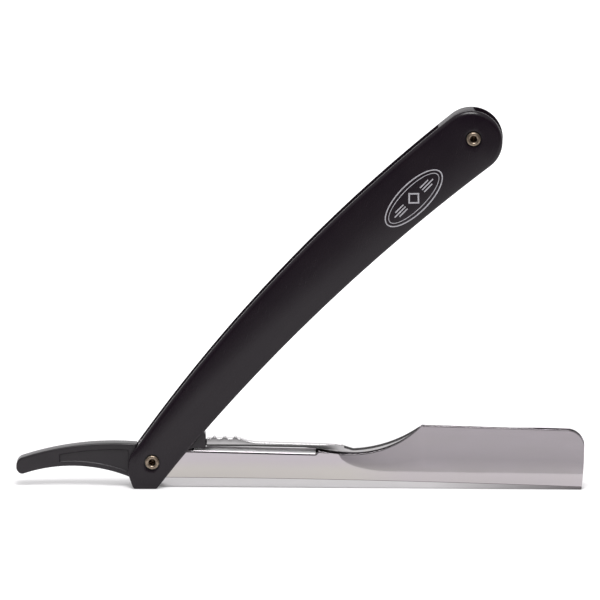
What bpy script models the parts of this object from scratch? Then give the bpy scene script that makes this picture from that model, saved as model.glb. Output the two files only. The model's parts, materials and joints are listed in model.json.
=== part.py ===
"""Folding straight razor that takes half of a double-edge blade.

The razor stands half open on the spine of its arm and the heel of its handle. All sizes are millimetres and
become metres when a mesh is made. The side view is drawn in X (towards the nose) and Z (up), and Y is the
thickness. Arm pieces are drawn from the pivot, handle pieces from the pivot along the handle's own axis.
"""
import math

import bmesh
import bpy

MM = 0.001

# Driving dimensions
RIVET_SPAN = 127.6
OPENING_DEG = 46.0
PIVOT_X = -40.87
PIVOT_HEIGHT = 7.6
GROUND = -PIVOT_HEIGHT

# Handle: two scales with an open slot between them
SLOT_HALF = 2.5
SCALE_THICKNESS = 1.85
SCALE_OUTER = SLOT_HALF + SCALE_THICKNESS
SCALE_EDGE_RADIUS = 0.7
HEEL_RADIUS = 0.9
BACK_ARC_CENTRE = (72.4, -441.6)
BACK_ARC_RADIUS = 453.38
FRONT_ARC_CENTRE = (49.7, -532.0)
FRONT_ARC_RADIUS = 528.63
END_CAP_ALONG = 126.4
BACK_ARC_START = -3.4
SPACER_HALF = 2.3
SPACER_REACH = 123.1
SPACER_INSET = 1.1
SPACER_INSET_TURNS = (-70.0, 42.0)

# Rivets
RIVET_BORE = 0.85
RIVET_BORE_DEPTH = 3.2
RIVET_SHAFT = 1.2
RIVET_HEAD = 2.0
RIVET_HOLE = 1.5
RIVET_SEAT = 2.3
RIVET_SEAT_DEPTH = 0.5
RIVET_BACK = 4.0
RIVET_HEAD_BACK = 4.42
RIVET_FACE = 4.74
WASHER_RADIUS = 2.05
WASHER_THICKNESS = 0.27
ROUND_SEGMENTS = 28

# Arm: one folded sheet, fold down
SHEET = 0.45
ARM_START = -4.0
TANG_LOBE_TOP = 5.0
SLOT_END = 45.0
FRONT_TOP = (2.65, 1.95)
REAR_TOP = (3.45, 3.0)
STEP_TOP = 3.0
WEB_START = 11.4
WEB_HALF = 1.9
WEB_DEPTH = 0.4
SHOULDER_START = (55.5, 2.1)
SHOULDER_RADIUS = 26.4
HEAD_CORNER = 74.4
NOSE_CENTRE = (114.55, 4.15)
NOSE_RADIUS = 4.9
NOSE_END = NOSE_CENTRE[0] + NOSE_RADIUS
TAPER_START = 10.0
TANG_HALF_WIDTH = 2.2
NOSE_HALF_WIDTH = 1.8
HEAD_SLOPE = 0.07
PLANE_START = 51.5
PLANE_LEVEL_FROM = 66.0
PLANE_LOW = -3.0
PLANE_HIGH = 2.2
CREASE_AT_TANG = 3.2
CREASE_AT_NOSE = 0.7

# Tang and tail
TAIL_HALF = 2.15
TAIL_END = -4.35
TAIL_TOP = ((-35.9, 0.7), (-18.0, 4.5), (TAIL_END, 4.65))
TAIL_UNDER = ((-35.6, -3.95), (-21.5, -1.7), (-6.1, -4.85))
PANEL_DEPTH = 0.45
INSERT_HALF = 1.4
STOP_HALF = 2.1
STOP_CLEARANCE = 0.33
STOP_END = 14.75
CHEEK_INNER = 1.6
TANG_PIN = (5.4, 1.1)
TANG_PIN_RADIUS = 0.7
TANG_PIN_HOLE = 0.95

# Clamp leaf and its hinge
HINGE = (117.2, -5.2)
HINGE_PIN_RADIUS = 0.65
EYE_BORE = 0.85
EYE_RADIUS = 1.3
LEAF_HALF = 0.2
LEVER_HALF = 1.3
LEVER_START = 15.05
LEVER_FOOT = 3.95
RIB_FOOT = 6.15
LEVER_END = 53.0
RIB_PITCH = 2.9
RIB_FIRST = 17.1
RIB_HEIGHT = 0.5
STUD_RADIUS = 1.0
STUD_HALF = 0.4
STUD_HEIGHT = 5.6
PIN_HALF = 1.1
CUT_REACH = 5.0


def clear_scene():
    for item in list(bpy.data.objects):
        bpy.data.objects.remove(item, do_unlink=True)


def material(name, colour, roughness, metallic):
    made = bpy.data.materials.new(name)
    made.use_nodes = True
    shader = made.node_tree.nodes["Principled BSDF"]
    shader.inputs["Base Color"].default_value = (*colour, 1.0)
    shader.inputs["Roughness"].default_value = roughness
    shader.inputs["Metallic"].default_value = metallic
    return made


def frame_empty(name, x, z, parent=None, tilt_deg=0.0):
    """An empty on a joint's axis; a positive tilt lifts its +X end."""
    empty = bpy.data.objects.new(name, None)
    empty.location = (x * MM, 0.0, z * MM)
    empty.rotation_euler = (0.0, -math.radians(tilt_deg), 0.0)
    empty.parent = parent
    bpy.context.collection.objects.link(empty)
    return empty


def make_object(name, mesh_data, frame, finish=None):
    mesh = bpy.data.meshes.new(name)
    mesh_data.to_mesh(mesh)
    mesh_data.free()
    mesh.shade_smooth()
    mesh.set_sharp_from_angle(angle=math.radians(35))
    made = bpy.data.objects.new(name, mesh)
    made.parent = frame
    bpy.context.collection.objects.link(made)
    if finish:
        mesh.materials.append(finish)
    return made


def combine(target, tool, operation):
    """Add or cut with a helper shape, which is kept as a hidden guide."""
    tool.hide_render = True
    tool.display_type = "WIRE"
    step = target.modifiers.new(operation.lower(), "BOOLEAN")
    step.operation = operation
    step.solver = "EXACT"
    step.object = tool


# Outlines in the side view -----------------------------------------------------------------------------

def solve(error, low, high):
    """The root of error between low and high, by halving."""
    rising = error(high) > error(low)
    for _ in range(50):
        middle = (low + high) / 2
        if (error(middle) > 0) == rising:
            high = middle
        else:
            low = middle
    return (low + high) / 2


def arc(centre, radius, start_deg, end_deg, steps):
    points = []
    for index in range(steps + 1):
        angle = math.radians(start_deg + (end_deg - start_deg) * index / steps)
        points.append((centre[0] + radius * math.cos(angle), centre[1] + radius * math.sin(angle)))
    return points


def circle_through(a, b, c):
    """Centre and radius of the circle through three points."""
    turn = 2 * (a[0] * (b[1] - c[1]) + b[0] * (c[1] - a[1]) + c[0] * (a[1] - b[1]))
    squares = [p[0] ** 2 + p[1] ** 2 for p in (a, b, c)]
    x = squares[0] * (b[1] - c[1]) + squares[1] * (c[1] - a[1]) + squares[2] * (a[1] - b[1])
    z = squares[0] * (c[0] - b[0]) + squares[1] * (a[0] - c[0]) + squares[2] * (b[0] - a[0])
    centre = (x / turn, z / turn)
    return centre, math.dist(centre, a)


def crown_height(three_points, x):
    """Height at x of the upper side of the circle through three points."""
    centre, radius = circle_through(*three_points)
    return centre[1] + math.sqrt(radius ** 2 - (x - centre[0]) ** 2)


def spaced(first, last, steps):
    return [first + (last - first) * index / steps for index in range(steps + 1)]


def filleted(corners, steps=4):
    """A closed outline from (x, z, radius) corners; radius 0 keeps the point as it is."""
    points = []
    for index, (x, z, radius) in enumerate(corners):
        if radius == 0:
            points.append((x, z))
            continue
        before = corners[index - 1]
        after = corners[(index + 1) % len(corners)]
        to_before = math.atan2(before[1] - z, before[0] - x)
        to_after = math.atan2(after[1] - z, after[0] - x)
        opening = (to_after - to_before + math.pi) % (2 * math.pi) - math.pi
        middle = to_before + opening / 2
        reach = radius / math.sin(abs(opening) / 2)
        centre = (x + reach * math.cos(middle), z + reach * math.sin(middle))
        sweep = math.copysign(math.pi - abs(opening), -opening)
        first = middle + math.pi - sweep / 2
        for share in spaced(0.0, 1.0, steps):
            angle = first + sweep * share
            points.append((centre[0] + radius * math.cos(angle), centre[1] + radius * math.sin(angle)))
    return points


def signed_area(outline):
    pairs = zip(outline, outline[1:] + outline[:1])
    return sum(a[0] * b[1] - b[0] * a[1] for a, b in pairs) / 2


def inset(outline, distance):
    """The outline moved inwards by distance along its corner normals."""
    inward = 1.0 if signed_area(outline) > 0 else -1.0
    moved = []
    for index, point in enumerate(outline):
        before = outline[index - 1]
        after = outline[(index + 1) % len(outline)]
        one = math.atan2(point[1] - before[1], point[0] - before[0])
        two = math.atan2(after[1] - point[1], after[0] - point[0])
        turn = (two - one + math.pi) % (2 * math.pi) - math.pi
        normal = one + turn / 2 + inward * math.pi / 2
        reach = distance / math.cos(turn / 2)
        moved.append((point[0] + reach * math.cos(normal), point[1] + reach * math.sin(normal)))
    return moved


# Solids ------------------------------------------------------------------------------------------------

def bridge(mesh, one, two):
    for index in range(len(one)):
        following = (index + 1) % len(one)
        mesh.faces.new((one[index], one[following], two[following], two[index]))


def rim(radius, steps=3):
    """(depth, inset) pairs from the face to the full outline, for a rim rounded to radius."""
    if radius == 0:
        return [(0.0, 0.0)]
    angles = [math.radians(angle) for angle in spaced(0.0, 90.0, steps)]
    return [(radius * (1 - math.cos(angle)), radius * (1 - math.sin(angle))) for angle in angles]


def plate(outline, near, far, near_round=0.0, far_round=0.0):
    """A flat piece from Y = near to Y = far, with its rims rounded where asked."""
    levels = [(near + depth, inwards) for depth, inwards in rim(near_round)]
    levels += [(far - depth, inwards) for depth, inwards in reversed(rim(far_round))]
    mesh = bmesh.new()
    rings = []
    for y, inwards in levels:
        ring = inset(outline, inwards)
        rings.append([mesh.verts.new((x * MM, y * MM, z * MM)) for x, z in ring])
    for one, two in zip(rings, rings[1:]):
        bridge(mesh, one, two)
    mesh.faces.new(rings[0])
    mesh.faces.new(rings[-1])
    bmesh.ops.recalc_face_normals(mesh, faces=mesh.faces)
    return mesh


def turned(profile, centre=(0.0, 0.0)):
    """A closed (radius, y) profile turned about the Y axis through centre; radius 0 closes on the axis."""
    mesh = bmesh.new()
    rings = []
    for radius, y in profile:
        if radius == 0:
            rings.append([mesh.verts.new((centre[0] * MM, y * MM, centre[1] * MM))])
            continue
        ring = []
        for x, z in arc(centre, radius, 0.0, 360.0, ROUND_SEGMENTS)[:-1]:
            ring.append(mesh.verts.new((x * MM, y * MM, z * MM)))
        rings.append(ring)
    open_ended = len(rings[0]) == 1
    pairs = list(zip(rings, rings[1:])) if open_ended else list(zip(rings, rings[1:] + rings[:1]))
    for one, two in pairs:
        if len(one) > 1 and len(two) > 1:
            bridge(mesh, one, two)
            continue
        tip, ring = (one[0], two) if len(one) == 1 else (two[0], one)
        for index in range(len(ring)):
            mesh.faces.new((tip, ring[index], ring[(index + 1) % len(ring)]))
    bmesh.ops.recalc_face_normals(mesh, faces=mesh.faces)
    return mesh


def rod(radius, low, high, centre=(0.0, 0.0)):
    return turned([(0, low), (radius, low), (radius, high), (0, high)], centre)


# Handle ------------------------------------------------------------------------------------------------

def back_edge(along):
    return BACK_ARC_CENTRE[1] + math.sqrt(BACK_ARC_RADIUS ** 2 - (along - BACK_ARC_CENTRE[0]) ** 2)


def front_edge(along):
    return FRONT_ARC_CENTRE[1] + math.sqrt(FRONT_ARC_RADIUS ** 2 - (along - FRONT_ARC_CENTRE[0]) ** 2)


def along_handle(x, z):
    """A point of the side view, turned into the handle's own axes."""
    angle = math.radians(OPENING_DEG)
    return x * math.cos(angle) + z * math.sin(angle), z * math.cos(angle) - x * math.sin(angle)


def end_cap():
    """Centre and radius of the round end, which is tangent to both long edges."""
    def back_room(across):
        return BACK_ARC_RADIUS - math.dist((END_CAP_ALONG, across), BACK_ARC_CENTRE)

    def front_room(across):
        return math.dist((END_CAP_ALONG, across), FRONT_ARC_CENTRE) - FRONT_ARC_RADIUS

    across = solve(lambda value: front_room(value) - back_room(value), -5.0, 5.0)
    return (END_CAP_ALONG, across), back_room(across)


def heel_on_front_edge():
    """Where the front edge reaches the ground at the opening that the razor stands at."""
    angle = math.radians(OPENING_DEG)
    along = solve(lambda u: u * math.sin(angle) + front_edge(u) * math.cos(angle) - GROUND, -12.0, 5.0)
    return along, front_edge(along)


def scale_outline():
    cap, radius = end_cap()
    back_turn = math.atan2(cap[1] - BACK_ARC_CENTRE[1], cap[0] - BACK_ARC_CENTRE[0])
    front_turn = math.atan2(FRONT_ARC_CENTRE[1] - cap[1], FRONT_ARC_CENTRE[0] - cap[0])
    back_meet = cap[0] + radius * math.cos(back_turn)
    front_meet = cap[0] + radius * math.cos(front_turn)
    heel = heel_on_front_edge()
    corners = [(*heel, HEEL_RADIUS)]
    corners += [(u, front_edge(u), 0) for u in spaced(heel[0] + 3.0, front_meet, 16)]
    turn_degrees = (math.degrees(front_turn), math.degrees(back_turn))
    corners += [(u, v, 0) for u, v in arc(cap, radius, *turn_degrees, 18)[1:-1]]
    corners += [(u, back_edge(u), 0) for u in spaced(back_meet, BACK_ARC_START + 3.0, 16)]
    corners += [(BACK_ARC_START, back_edge(BACK_ARC_START), 4.0)]
    corners += [(*along_handle(-6.75, -3.2), 3.5), (*along_handle(-5.2, GROUND), HEEL_RADIUS)]
    return filleted(corners)


def rivet_seat_cutter(name, along, side, frame):
    """Through hole with a shallow seat for the rivet's head; side is -1 for the front, 1 for the rear."""
    floor = side * (SCALE_OUTER - RIVET_SEAT_DEPTH)
    outside = side * (SCALE_OUTER + 1.0)
    inside = side * (SLOT_HALF - 1.0)
    profile = [(0, inside), (RIVET_HOLE, inside), (RIVET_HOLE, floor)]
    profile += [(RIVET_SEAT, floor), (RIVET_SEAT, outside), (0, outside)]
    return make_object(name, turned(profile, (along, 0.0)), frame)


def make_scale(name, side, frame, finish):
    near = -SCALE_OUTER if side < 0 else SLOT_HALF
    far = -SLOT_HALF if side < 0 else SCALE_OUTER
    rounds = {"near_round" if side < 0 else "far_round": SCALE_EDGE_RADIUS}
    scale = make_object(name, plate(scale_outline(), near, far, **rounds), frame, finish)
    for label, along in (("pivot", 0.0), ("end", RIVET_SPAN)):
        combine(scale, rivet_seat_cutter(f"{name}_{label}_seat", along, side, frame), "DIFFERENCE")


def drawn_in(point):
    """Moves a point of the round end inwards, so the block sits back between the scales past the top."""
    cap = end_cap()[0]
    turn = math.degrees(math.atan2(point[1] - cap[1], point[0] - cap[0]))
    low, high = SPACER_INSET_TURNS
    share = min(max(min(turn - low, high - turn) / 10.0, 0.0), 1.0)
    back = SPACER_INSET * share / math.dist(point, cap)
    return point[0] + (cap[0] - point[0]) * back, point[1] + (cap[1] - point[1]) * back


def make_end_spacer(frame, finish):
    """Fills the slot round the end rivet; its inner side is an arc about the pivot, clear of the nose."""
    angle_limits = []
    for edge in (front_edge, back_edge):
        along = solve(lambda u: math.hypot(u, edge(u)) - SPACER_REACH, 100.0, 130.0)
        angle_limits.append(math.degrees(math.atan2(edge(along), along)))
    outer = [drawn_in(p) for p in scale_outline() if math.hypot(*p) > SPACER_REACH + 0.4]
    start = max(range(len(outer)), key=lambda i: math.dist(outer[i], outer[i - 1]))
    outer = outer[start:] + outer[:start]
    inner = arc((0.0, 0.0), SPACER_REACH, angle_limits[1], angle_limits[0], 8)
    spacer = make_object("end_spacer", plate(outer + inner, -SPACER_HALF, SPACER_HALF), frame, finish)
    hole = make_object("spacer_hole", rod(RIVET_HOLE, -CUT_REACH, CUT_REACH, (RIVET_SPAN, 0.0)), frame)
    combine(spacer, hole, "DIFFERENCE")


def make_rivet(name, along, frame, finish):
    """Half-hollow rivet: its hollow end rolled over in front, a solid shaft, and a flat head behind."""
    bore_end = RIVET_BORE_DEPTH - RIVET_FACE
    rolled = [(0, bore_end), (RIVET_BORE, bore_end - 0.4), (RIVET_BORE, -4.2), (1.02, -4.52)]
    rolled += [(1.35, -RIVET_FACE), (1.68, -RIVET_FACE), (1.92, -4.56), (RIVET_HEAD, -4.3)]
    rolled += [(1.9, -RIVET_BACK), (RIVET_SHAFT, -RIVET_BACK)]
    head = [(RIVET_SHAFT, RIVET_HEAD_BACK), (1.8, RIVET_HEAD_BACK), (1.92, 4.55), (1.75, 4.67), (0, RIVET_FACE)]
    make_object(name, turned(rolled + head, (along, 0.0)), frame, finish)


def make_washer(name, along, frame, finish):
    inner = RIVET_SHAFT + 0.2
    far = RIVET_BACK + WASHER_THICKNESS
    ring = [(inner, RIVET_BACK), (WASHER_RADIUS, RIVET_BACK), (WASHER_RADIUS, far), (inner, far)]
    make_object(name, turned(ring, (along, 0.0)), frame, finish)


# Arm shell ---------------------------------------------------------------------------------------------

def tapered(at_tang, at_nose, x):
    """A size that changes evenly from the start of the taper to the nose."""
    share = min(max((x - TAPER_START) / (NOSE_END - TAPER_START), 0.0), 1.0)
    return at_tang + (at_nose - at_tang) * share


def half_width(x):
    return tapered(TANG_HALF_WIDTH, NOSE_HALF_WIDTH, x)


def crease_height(x):
    return tapered(CREASE_AT_TANG, CREASE_AT_NOSE, x)


def wall_top(ends, x):
    """Top of a wall over the tang: a straight line between its heights at the start and at the slot's end."""
    return ends[0] + (ends[1] - ends[0]) * (x - ARM_START) / (SLOT_END - ARM_START)


def top_edge():
    """(x, front, rear) tops of the walls from the tang to the nose; the front one is lower along the slot."""
    lobe = [(ARM_START, 4.3), (-3.85, 4.8), (-3.5, TANG_LOBE_TOP), (0.6, TANG_LOBE_TOP), (1.8, 4.2)]
    slot = [(x, wall_top(FRONT_TOP, x), wall_top(REAR_TOP, x)) for x in (2.8, 10.0, 20.0, 32.5, SLOT_END)]
    slot += [(45.5, 2.2, STEP_TOP), (45.8, 2.6, STEP_TOP)]
    step = [(46.05, STEP_TOP), (46.5, STEP_TOP), (48.2, 2.52), (50.3, 2.2), (53.4, 2.1)]
    centre = (SHOULDER_START[0], SHOULDER_START[1] + SHOULDER_RADIUS)
    sweep = math.degrees(math.asin((HEAD_CORNER - SHOULDER_START[0]) / SHOULDER_RADIUS))
    shoulder = arc(centre, SHOULDER_RADIUS, -90.0, sweep - 90.0, 12)
    nose = arc(NOSE_CENTRE, NOSE_RADIUS, 90.0, 0.0, 7)
    rise = (nose[0][1] - shoulder[-1][1]) / (nose[0][0] - shoulder[-1][0])
    head = [(x, shoulder[-1][1] + rise * (x - shoulder[-1][0])) for x in (86.0, 100.0)]
    rest = step + shoulder + head + nose
    return [(x, z, z) for x, z in lobe] + slot + [(x, z, z) for x, z in rest]


def plane_foot(x):
    """Lower boundary of the head's inclined plane: a quarter ellipse that runs out level."""
    if x >= PLANE_LEVEL_FROM:
        return PLANE_LOW - 0.5 * (x - PLANE_LEVEL_FROM) / (NOSE_END - PLANE_LEVEL_FROM)
    share = min((PLANE_LEVEL_FROM - x) / (PLANE_LEVEL_FROM - PLANE_START), 1.0)
    return PLANE_LOW + (PLANE_HIGH - PLANE_LOW) * (1 - math.sqrt(1 - share ** 2))


def half_profile(x, top, inward):
    """One wall from its top edge to the flat spine, on the outside or moved inward by the sheet."""
    wide = half_width(x) - inward
    crease = crease_height(x) * (1.0 - 0.2 * (inward > 0))
    base = GROUND + inward
    foot = plane_foot(x)
    bend = min(foot, top - 0.5)
    lean_top = HEAD_SLOPE * max(top - foot, 0.0)
    lean_bend = HEAD_SLOPE * max(bend - foot, 0.0)
    return [
        (wide - lean_top, top),
        (wide - lean_bend, bend),
        (wide, base + crease),
        (wide - 0.1 * crease, base + 0.5 * crease),
        (wide - 0.3 * crease, base + 0.12 * crease),
        (wide - 0.38 * crease, base),
    ]


def shell_section(mesh, x, front_top, rear_top, inward):
    front = half_profile(x, front_top, inward)
    rear = reversed(half_profile(x, rear_top, inward))
    verts = [mesh.verts.new((x * MM, -y * MM, z * MM)) for y, z in front]
    return verts + [mesh.verts.new((x * MM, y * MM, z * MM)) for y, z in rear]


def shell_mesh():
    mesh = bmesh.new()
    sections = []
    for place in top_edge():
        sections.append(shell_section(mesh, *place, 0.0) + shell_section(mesh, *place, SHEET)[::-1])
    for one, two in zip(sections, sections[1:]):
        bridge(mesh, one, two)
    for ring in (sections[0], sections[-1]):
        count = len(ring)
        for index in range(count // 2 - 1):
            mesh.faces.new((ring[index], ring[index + 1], ring[count - 2 - index], ring[count - 1 - index]))
    bmesh.ops.recalc_face_normals(mesh, faces=mesh.faces)
    return mesh


def web_outline():
    """Flat sheet that closes the channel between the walls, level with the top of the front wall."""
    top = [(x, wall_top(FRONT_TOP, x) - 0.02) for x in (WEB_START, SLOT_END)]
    return top + [(x, z - WEB_DEPTH) for x, z in reversed(top)]


def make_arm_shell(frame, finish):
    shell = make_object("arm_shell", shell_mesh(), frame, finish)
    combine(shell, make_object("shell_web", plate(web_outline(), -WEB_HALF, WEB_HALF), frame), "UNION")
    pivot_hole = make_object("shell_pivot_hole", rod(RIVET_HOLE, -CUT_REACH, CUT_REACH), frame)
    combine(shell, pivot_hole, "DIFFERENCE")
    pin_hole = make_object("shell_pin_hole", rod(TANG_PIN_HOLE, -CUT_REACH, CUT_REACH, TANG_PIN), frame)
    combine(shell, pin_hole, "DIFFERENCE")


# Tang and tail -----------------------------------------------------------------------------------------

def tail_outline():
    top = [(x, crown_height(TAIL_TOP, x), 0) for x in spaced(TAIL_END, TAIL_TOP[0][0], 14)]
    under = [(x, crown_height(TAIL_UNDER, x), 0) for x in spaced(TAIL_UNDER[0][0], TAIL_END, 14)]
    tip = [(-37.7, 0.2, 2.4), (-37.75, -2.7, 1.5), (-36.7, -4.3, 1.4)]
    return filleted(top + tip + under)


def panel_outline():
    """Sunk panel on each side, parallel to the tail's top and underside."""
    stations = spaced(-25.8, -6.5, 8)
    under = [(x, crown_height(TAIL_UNDER, x) + 1.1, 0) for x in stations[1:-1]]
    top = [(x, crown_height(TAIL_TOP, x) - 1.7, 0) for x in reversed(stations[1:-1])]
    right = stations[-1]
    left = stations[0]
    corners = [(left, crown_height(TAIL_UNDER, left) + 1.1, 0.5), *under]
    corners += [(right, crown_height(TAIL_UNDER, right) + 1.1, 0.5)]
    corners += [(right, crown_height(TAIL_TOP, right) - 1.7, 0.5), *top]
    corners += [(left, crown_height(TAIL_TOP, left) - 1.7, 0.5)]
    return filleted(corners)


def make_tang_tail(frame, finish):
    tail = plate(tail_outline(), -TAIL_HALF, TAIL_HALF, 0.5, 0.5)
    tang = make_object("tang_tail", tail, frame, finish)
    insert_outline = [(-6.0, -4.2), (9.0, -4.2), (11.0, -2.2), (11.0, 4.6)]
    insert_outline += [(4.2, 4.6), (4.2, 2.6), (-6.0, 2.6)]
    insert = make_object("tang_insert", plate(insert_outline, -INSERT_HALF, INSERT_HALF), frame)
    combine(tang, insert, "UNION")
    stop_corners = [(x, wall_top(REAR_TOP, x) + STOP_CLEARANCE, 0.4) for x in (3.2, STOP_END)]
    stop_corners += [(STOP_END, 7.2, 0.8), (14.2, 8.9, 0.6), (12.0, 9.2, 0.8), (3.2, 6.4, 1.5)]
    stop = make_object("tang_stop", plate(filleted(stop_corners), -STOP_HALF, STOP_HALF, 0.3, 0.3), frame)
    combine(tang, stop, "UNION")
    cheek_corners = [(13.6, 3.75, 0), (15.9, 3.75, 0.4), (15.9, 5.4, 0.4), (13.6, 5.4, 0)]
    cheek = make_object("stop_cheek", plate(filleted(cheek_corners), CHEEK_INNER, STOP_HALF - 0.05), frame)
    combine(tang, cheek, "UNION")
    for side, label in ((-1, "front"), (1, "rear")):
        faces = sorted((side * (TAIL_HALF - PANEL_DEPTH), side * (TAIL_HALF + 1.0)))
        recess = make_object(f"tail_{label}_recess", plate(panel_outline(), *faces), frame)
        combine(tang, recess, "DIFFERENCE")
    combine(tang, make_object("tang_bore", rod(RIVET_HOLE, -CUT_REACH, CUT_REACH), frame), "DIFFERENCE")
    pin_hole = make_object("tang_pin_hole", rod(TANG_PIN_HOLE, -CUT_REACH, CUT_REACH, TANG_PIN), frame)
    combine(tang, pin_hole, "DIFFERENCE")


# Clamp leaf, drawn from its own hinge ------------------------------------------------------------------

def from_hinge(points):
    return [(p[0] - HINGE[0], p[1] - HINGE[1], *p[2:]) for p in points]


def leaf_outline():
    shoulder, radius = circle_through((55.5, 3.45), (65.0, 5.25), (73.8, 9.75))
    stations = spaced(55.5, 73.8, 9)
    curve = [(x, shoulder[1] - math.sqrt(radius ** 2 - (x - shoulder[0]) ** 2), 0) for x in stations]
    corners = [(42.0, 4.2, 0), (LEVER_END, 4.2, 0), *curve]
    corners += [(75.2, 9.45, 0), (117.6, 8.45, 4.0), (117.6, -5.2, 0)]
    corners += [(117.0, -6.0, 0), (62.0, -6.0, 3.0), (51.0, -0.5, 4.0), (46.5, 2.9, 0)]
    return filleted(corners)


def lever_outline():
    """Thin strip with three cross ribs for the thumb on its free end."""
    ribs = []
    for x in spaced(LEVER_START, 24.2, 24):
        wave = math.cos(2 * math.pi * (x - RIB_FIRST) / RIB_PITCH)
        ribs.append((x, RIB_FOOT + RIB_HEIGHT * max(wave, 0.0)))
    strip = [(25.0, 5.85), (28.5, 5.1), (41.0, 4.8), (LEVER_END, 4.55), (LEVER_END, 3.8), (42.0, 3.8)]
    return ribs + strip + [(28.0, LEVER_FOOT), (LEVER_START, LEVER_FOOT)]


def make_clamp_leaf(frame, finish):
    flat = plate(from_hinge(leaf_outline()), -LEAF_HALF, LEAF_HALF)
    leaf = make_object("clamp_leaf", flat, frame, finish)
    lever = make_object("leaf_lever", plate(from_hinge(lever_outline()), -LEVER_HALF, LEVER_HALF), frame)
    combine(leaf, lever, "UNION")
    combine(leaf, make_object("leaf_eye", rod(EYE_RADIUS, -1.0, 1.0), frame), "UNION")
    for x, label in ((84.0, "first"), (106.0, "second")):
        centre = from_hinge([(x, STUD_HEIGHT)])[0]
        stud = make_object(f"leaf_{label}_stud", rod(STUD_RADIUS, -STUD_HALF, STUD_HALF, centre), frame)
        combine(leaf, stud, "UNION")
    combine(leaf, make_object("leaf_eye_bore", rod(EYE_BORE, -CUT_REACH, CUT_REACH), frame), "DIFFERENCE")


def main():
    clear_scene()
    black = material("handle_black", (0.012, 0.011, 0.012), 0.3, 0.0)
    tang_black = material("tang_black", (0.02, 0.018, 0.019), 0.38, 0.0)
    brass = material("brass", (0.5, 0.36, 0.22), 0.35, 1.0)
    steel = material("arm_steel", (0.72, 0.71, 0.71), 0.12, 1.0)
    leaf_steel = material("leaf_steel", (0.66, 0.65, 0.65), 0.16, 1.0)
    pin_steel = material("pin_steel", (0.6, 0.59, 0.58), 0.25, 1.0)

    handle = frame_empty("handle_frame", PIVOT_X, PIVOT_HEIGHT, tilt_deg=OPENING_DEG)
    arm = frame_empty("arm_frame", PIVOT_X, PIVOT_HEIGHT)
    clamp = frame_empty("clamp_frame", *HINGE, parent=arm)

    make_scale("front_scale", -1, handle, black)
    make_scale("rear_scale", 1, handle, black)
    make_end_spacer(handle, black)
    for label, along in (("pivot", 0.0), ("end", RIVET_SPAN)):
        make_rivet(f"{label}_rivet", along, handle, brass)
        make_washer(f"{label}_washer", along, handle, brass)

    make_arm_shell(arm, steel)
    make_tang_tail(arm, tang_black)
    make_object("tang_pin", rod(TANG_PIN_RADIUS, -STOP_HALF, STOP_HALF, TANG_PIN), arm, pin_steel)
    make_clamp_leaf(clamp, leaf_steel)
    make_object("hinge_pin", rod(HINGE_PIN_RADIUS, -PIN_HALF, PIN_HALF, HINGE), arm, pin_steel)


main()
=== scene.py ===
"""Looks of the half-open straight razor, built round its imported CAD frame.

Sizes are millimetres until a mesh is finished. Arm pieces are drawn from the pivot with X towards the nose,
handle pieces from the pivot with X along the handle, and the clamp leaf from its own hinge. Z is up, and Y is
the thickness, negative in front.
"""
import json
import math

import bmesh
import bpy
from mathutils import Matrix, Vector
from mathutils.geometry import delaunay_2d_cdt

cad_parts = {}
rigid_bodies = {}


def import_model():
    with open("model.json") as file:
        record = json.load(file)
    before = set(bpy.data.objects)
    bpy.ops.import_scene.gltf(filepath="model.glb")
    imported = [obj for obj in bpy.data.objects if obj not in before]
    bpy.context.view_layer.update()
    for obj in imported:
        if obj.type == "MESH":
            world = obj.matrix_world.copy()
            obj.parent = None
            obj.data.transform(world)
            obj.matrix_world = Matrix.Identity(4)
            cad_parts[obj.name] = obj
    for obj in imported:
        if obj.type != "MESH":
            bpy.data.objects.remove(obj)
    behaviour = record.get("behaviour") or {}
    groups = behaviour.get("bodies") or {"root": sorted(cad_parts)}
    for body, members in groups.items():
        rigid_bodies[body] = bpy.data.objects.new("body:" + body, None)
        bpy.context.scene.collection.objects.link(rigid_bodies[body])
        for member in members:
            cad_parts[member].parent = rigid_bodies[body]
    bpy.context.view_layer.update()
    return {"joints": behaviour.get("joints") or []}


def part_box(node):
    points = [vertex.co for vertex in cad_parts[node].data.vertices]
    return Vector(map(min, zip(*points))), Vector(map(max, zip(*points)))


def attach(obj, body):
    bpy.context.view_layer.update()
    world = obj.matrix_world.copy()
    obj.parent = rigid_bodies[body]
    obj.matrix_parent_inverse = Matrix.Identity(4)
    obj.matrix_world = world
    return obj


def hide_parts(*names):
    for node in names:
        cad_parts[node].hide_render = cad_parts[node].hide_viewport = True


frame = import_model()

MM = 0.001


# Places and sizes read from the frame ----------------------

def joint_place(name):
    return Vector(next(joint["pos_m"] for joint in frame["joints"] if joint["name"] == name)) / MM


def low_corner(node):
    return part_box(node)[0] / MM


def high_corner(node):
    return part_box(node)[1] / MM


PIVOT = joint_place("fold")
GROUND = -PIVOT.z
HINGE_POINT = joint_place("clamp_open") - PIVOT
HINGE = (HINGE_POINT.x, HINGE_POINT.z)
END_RIVET = (low_corner("end_rivet") + high_corner("end_rivet")) / 2 - PIVOT
OPENING = math.atan2(END_RIVET.z, END_RIVET.x)
RIVET_SPAN = math.hypot(END_RIVET.x, END_RIVET.z)
SCALE_OUTER = high_corner("rear_scale").y
SLOT_HALF = low_corner("rear_scale").y
SPACER_HALF = high_corner("end_spacer").y
RIVET_FACE = high_corner("end_rivet").y
WASHER_BACK = low_corner("end_washer").y
WASHER_FACE = high_corner("end_washer").y
WASHER_RADIUS = (high_corner("end_washer").x - low_corner("end_washer").x) / 2
TAIL_HALF = high_corner("tang_tail").y
NOSE_END = high_corner("arm_shell").x - PIVOT.x
ARM_START = low_corner("arm_shell").x - PIVOT.x

BODY_AXES = {
    "arm": Matrix.Translation(PIVOT),
    "handle": Matrix.Translation(PIVOT) @ Matrix.Rotation(-OPENING, 4, "Y"),
    "clamp": Matrix.Translation(PIVOT + HINGE_POINT),
}

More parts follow.
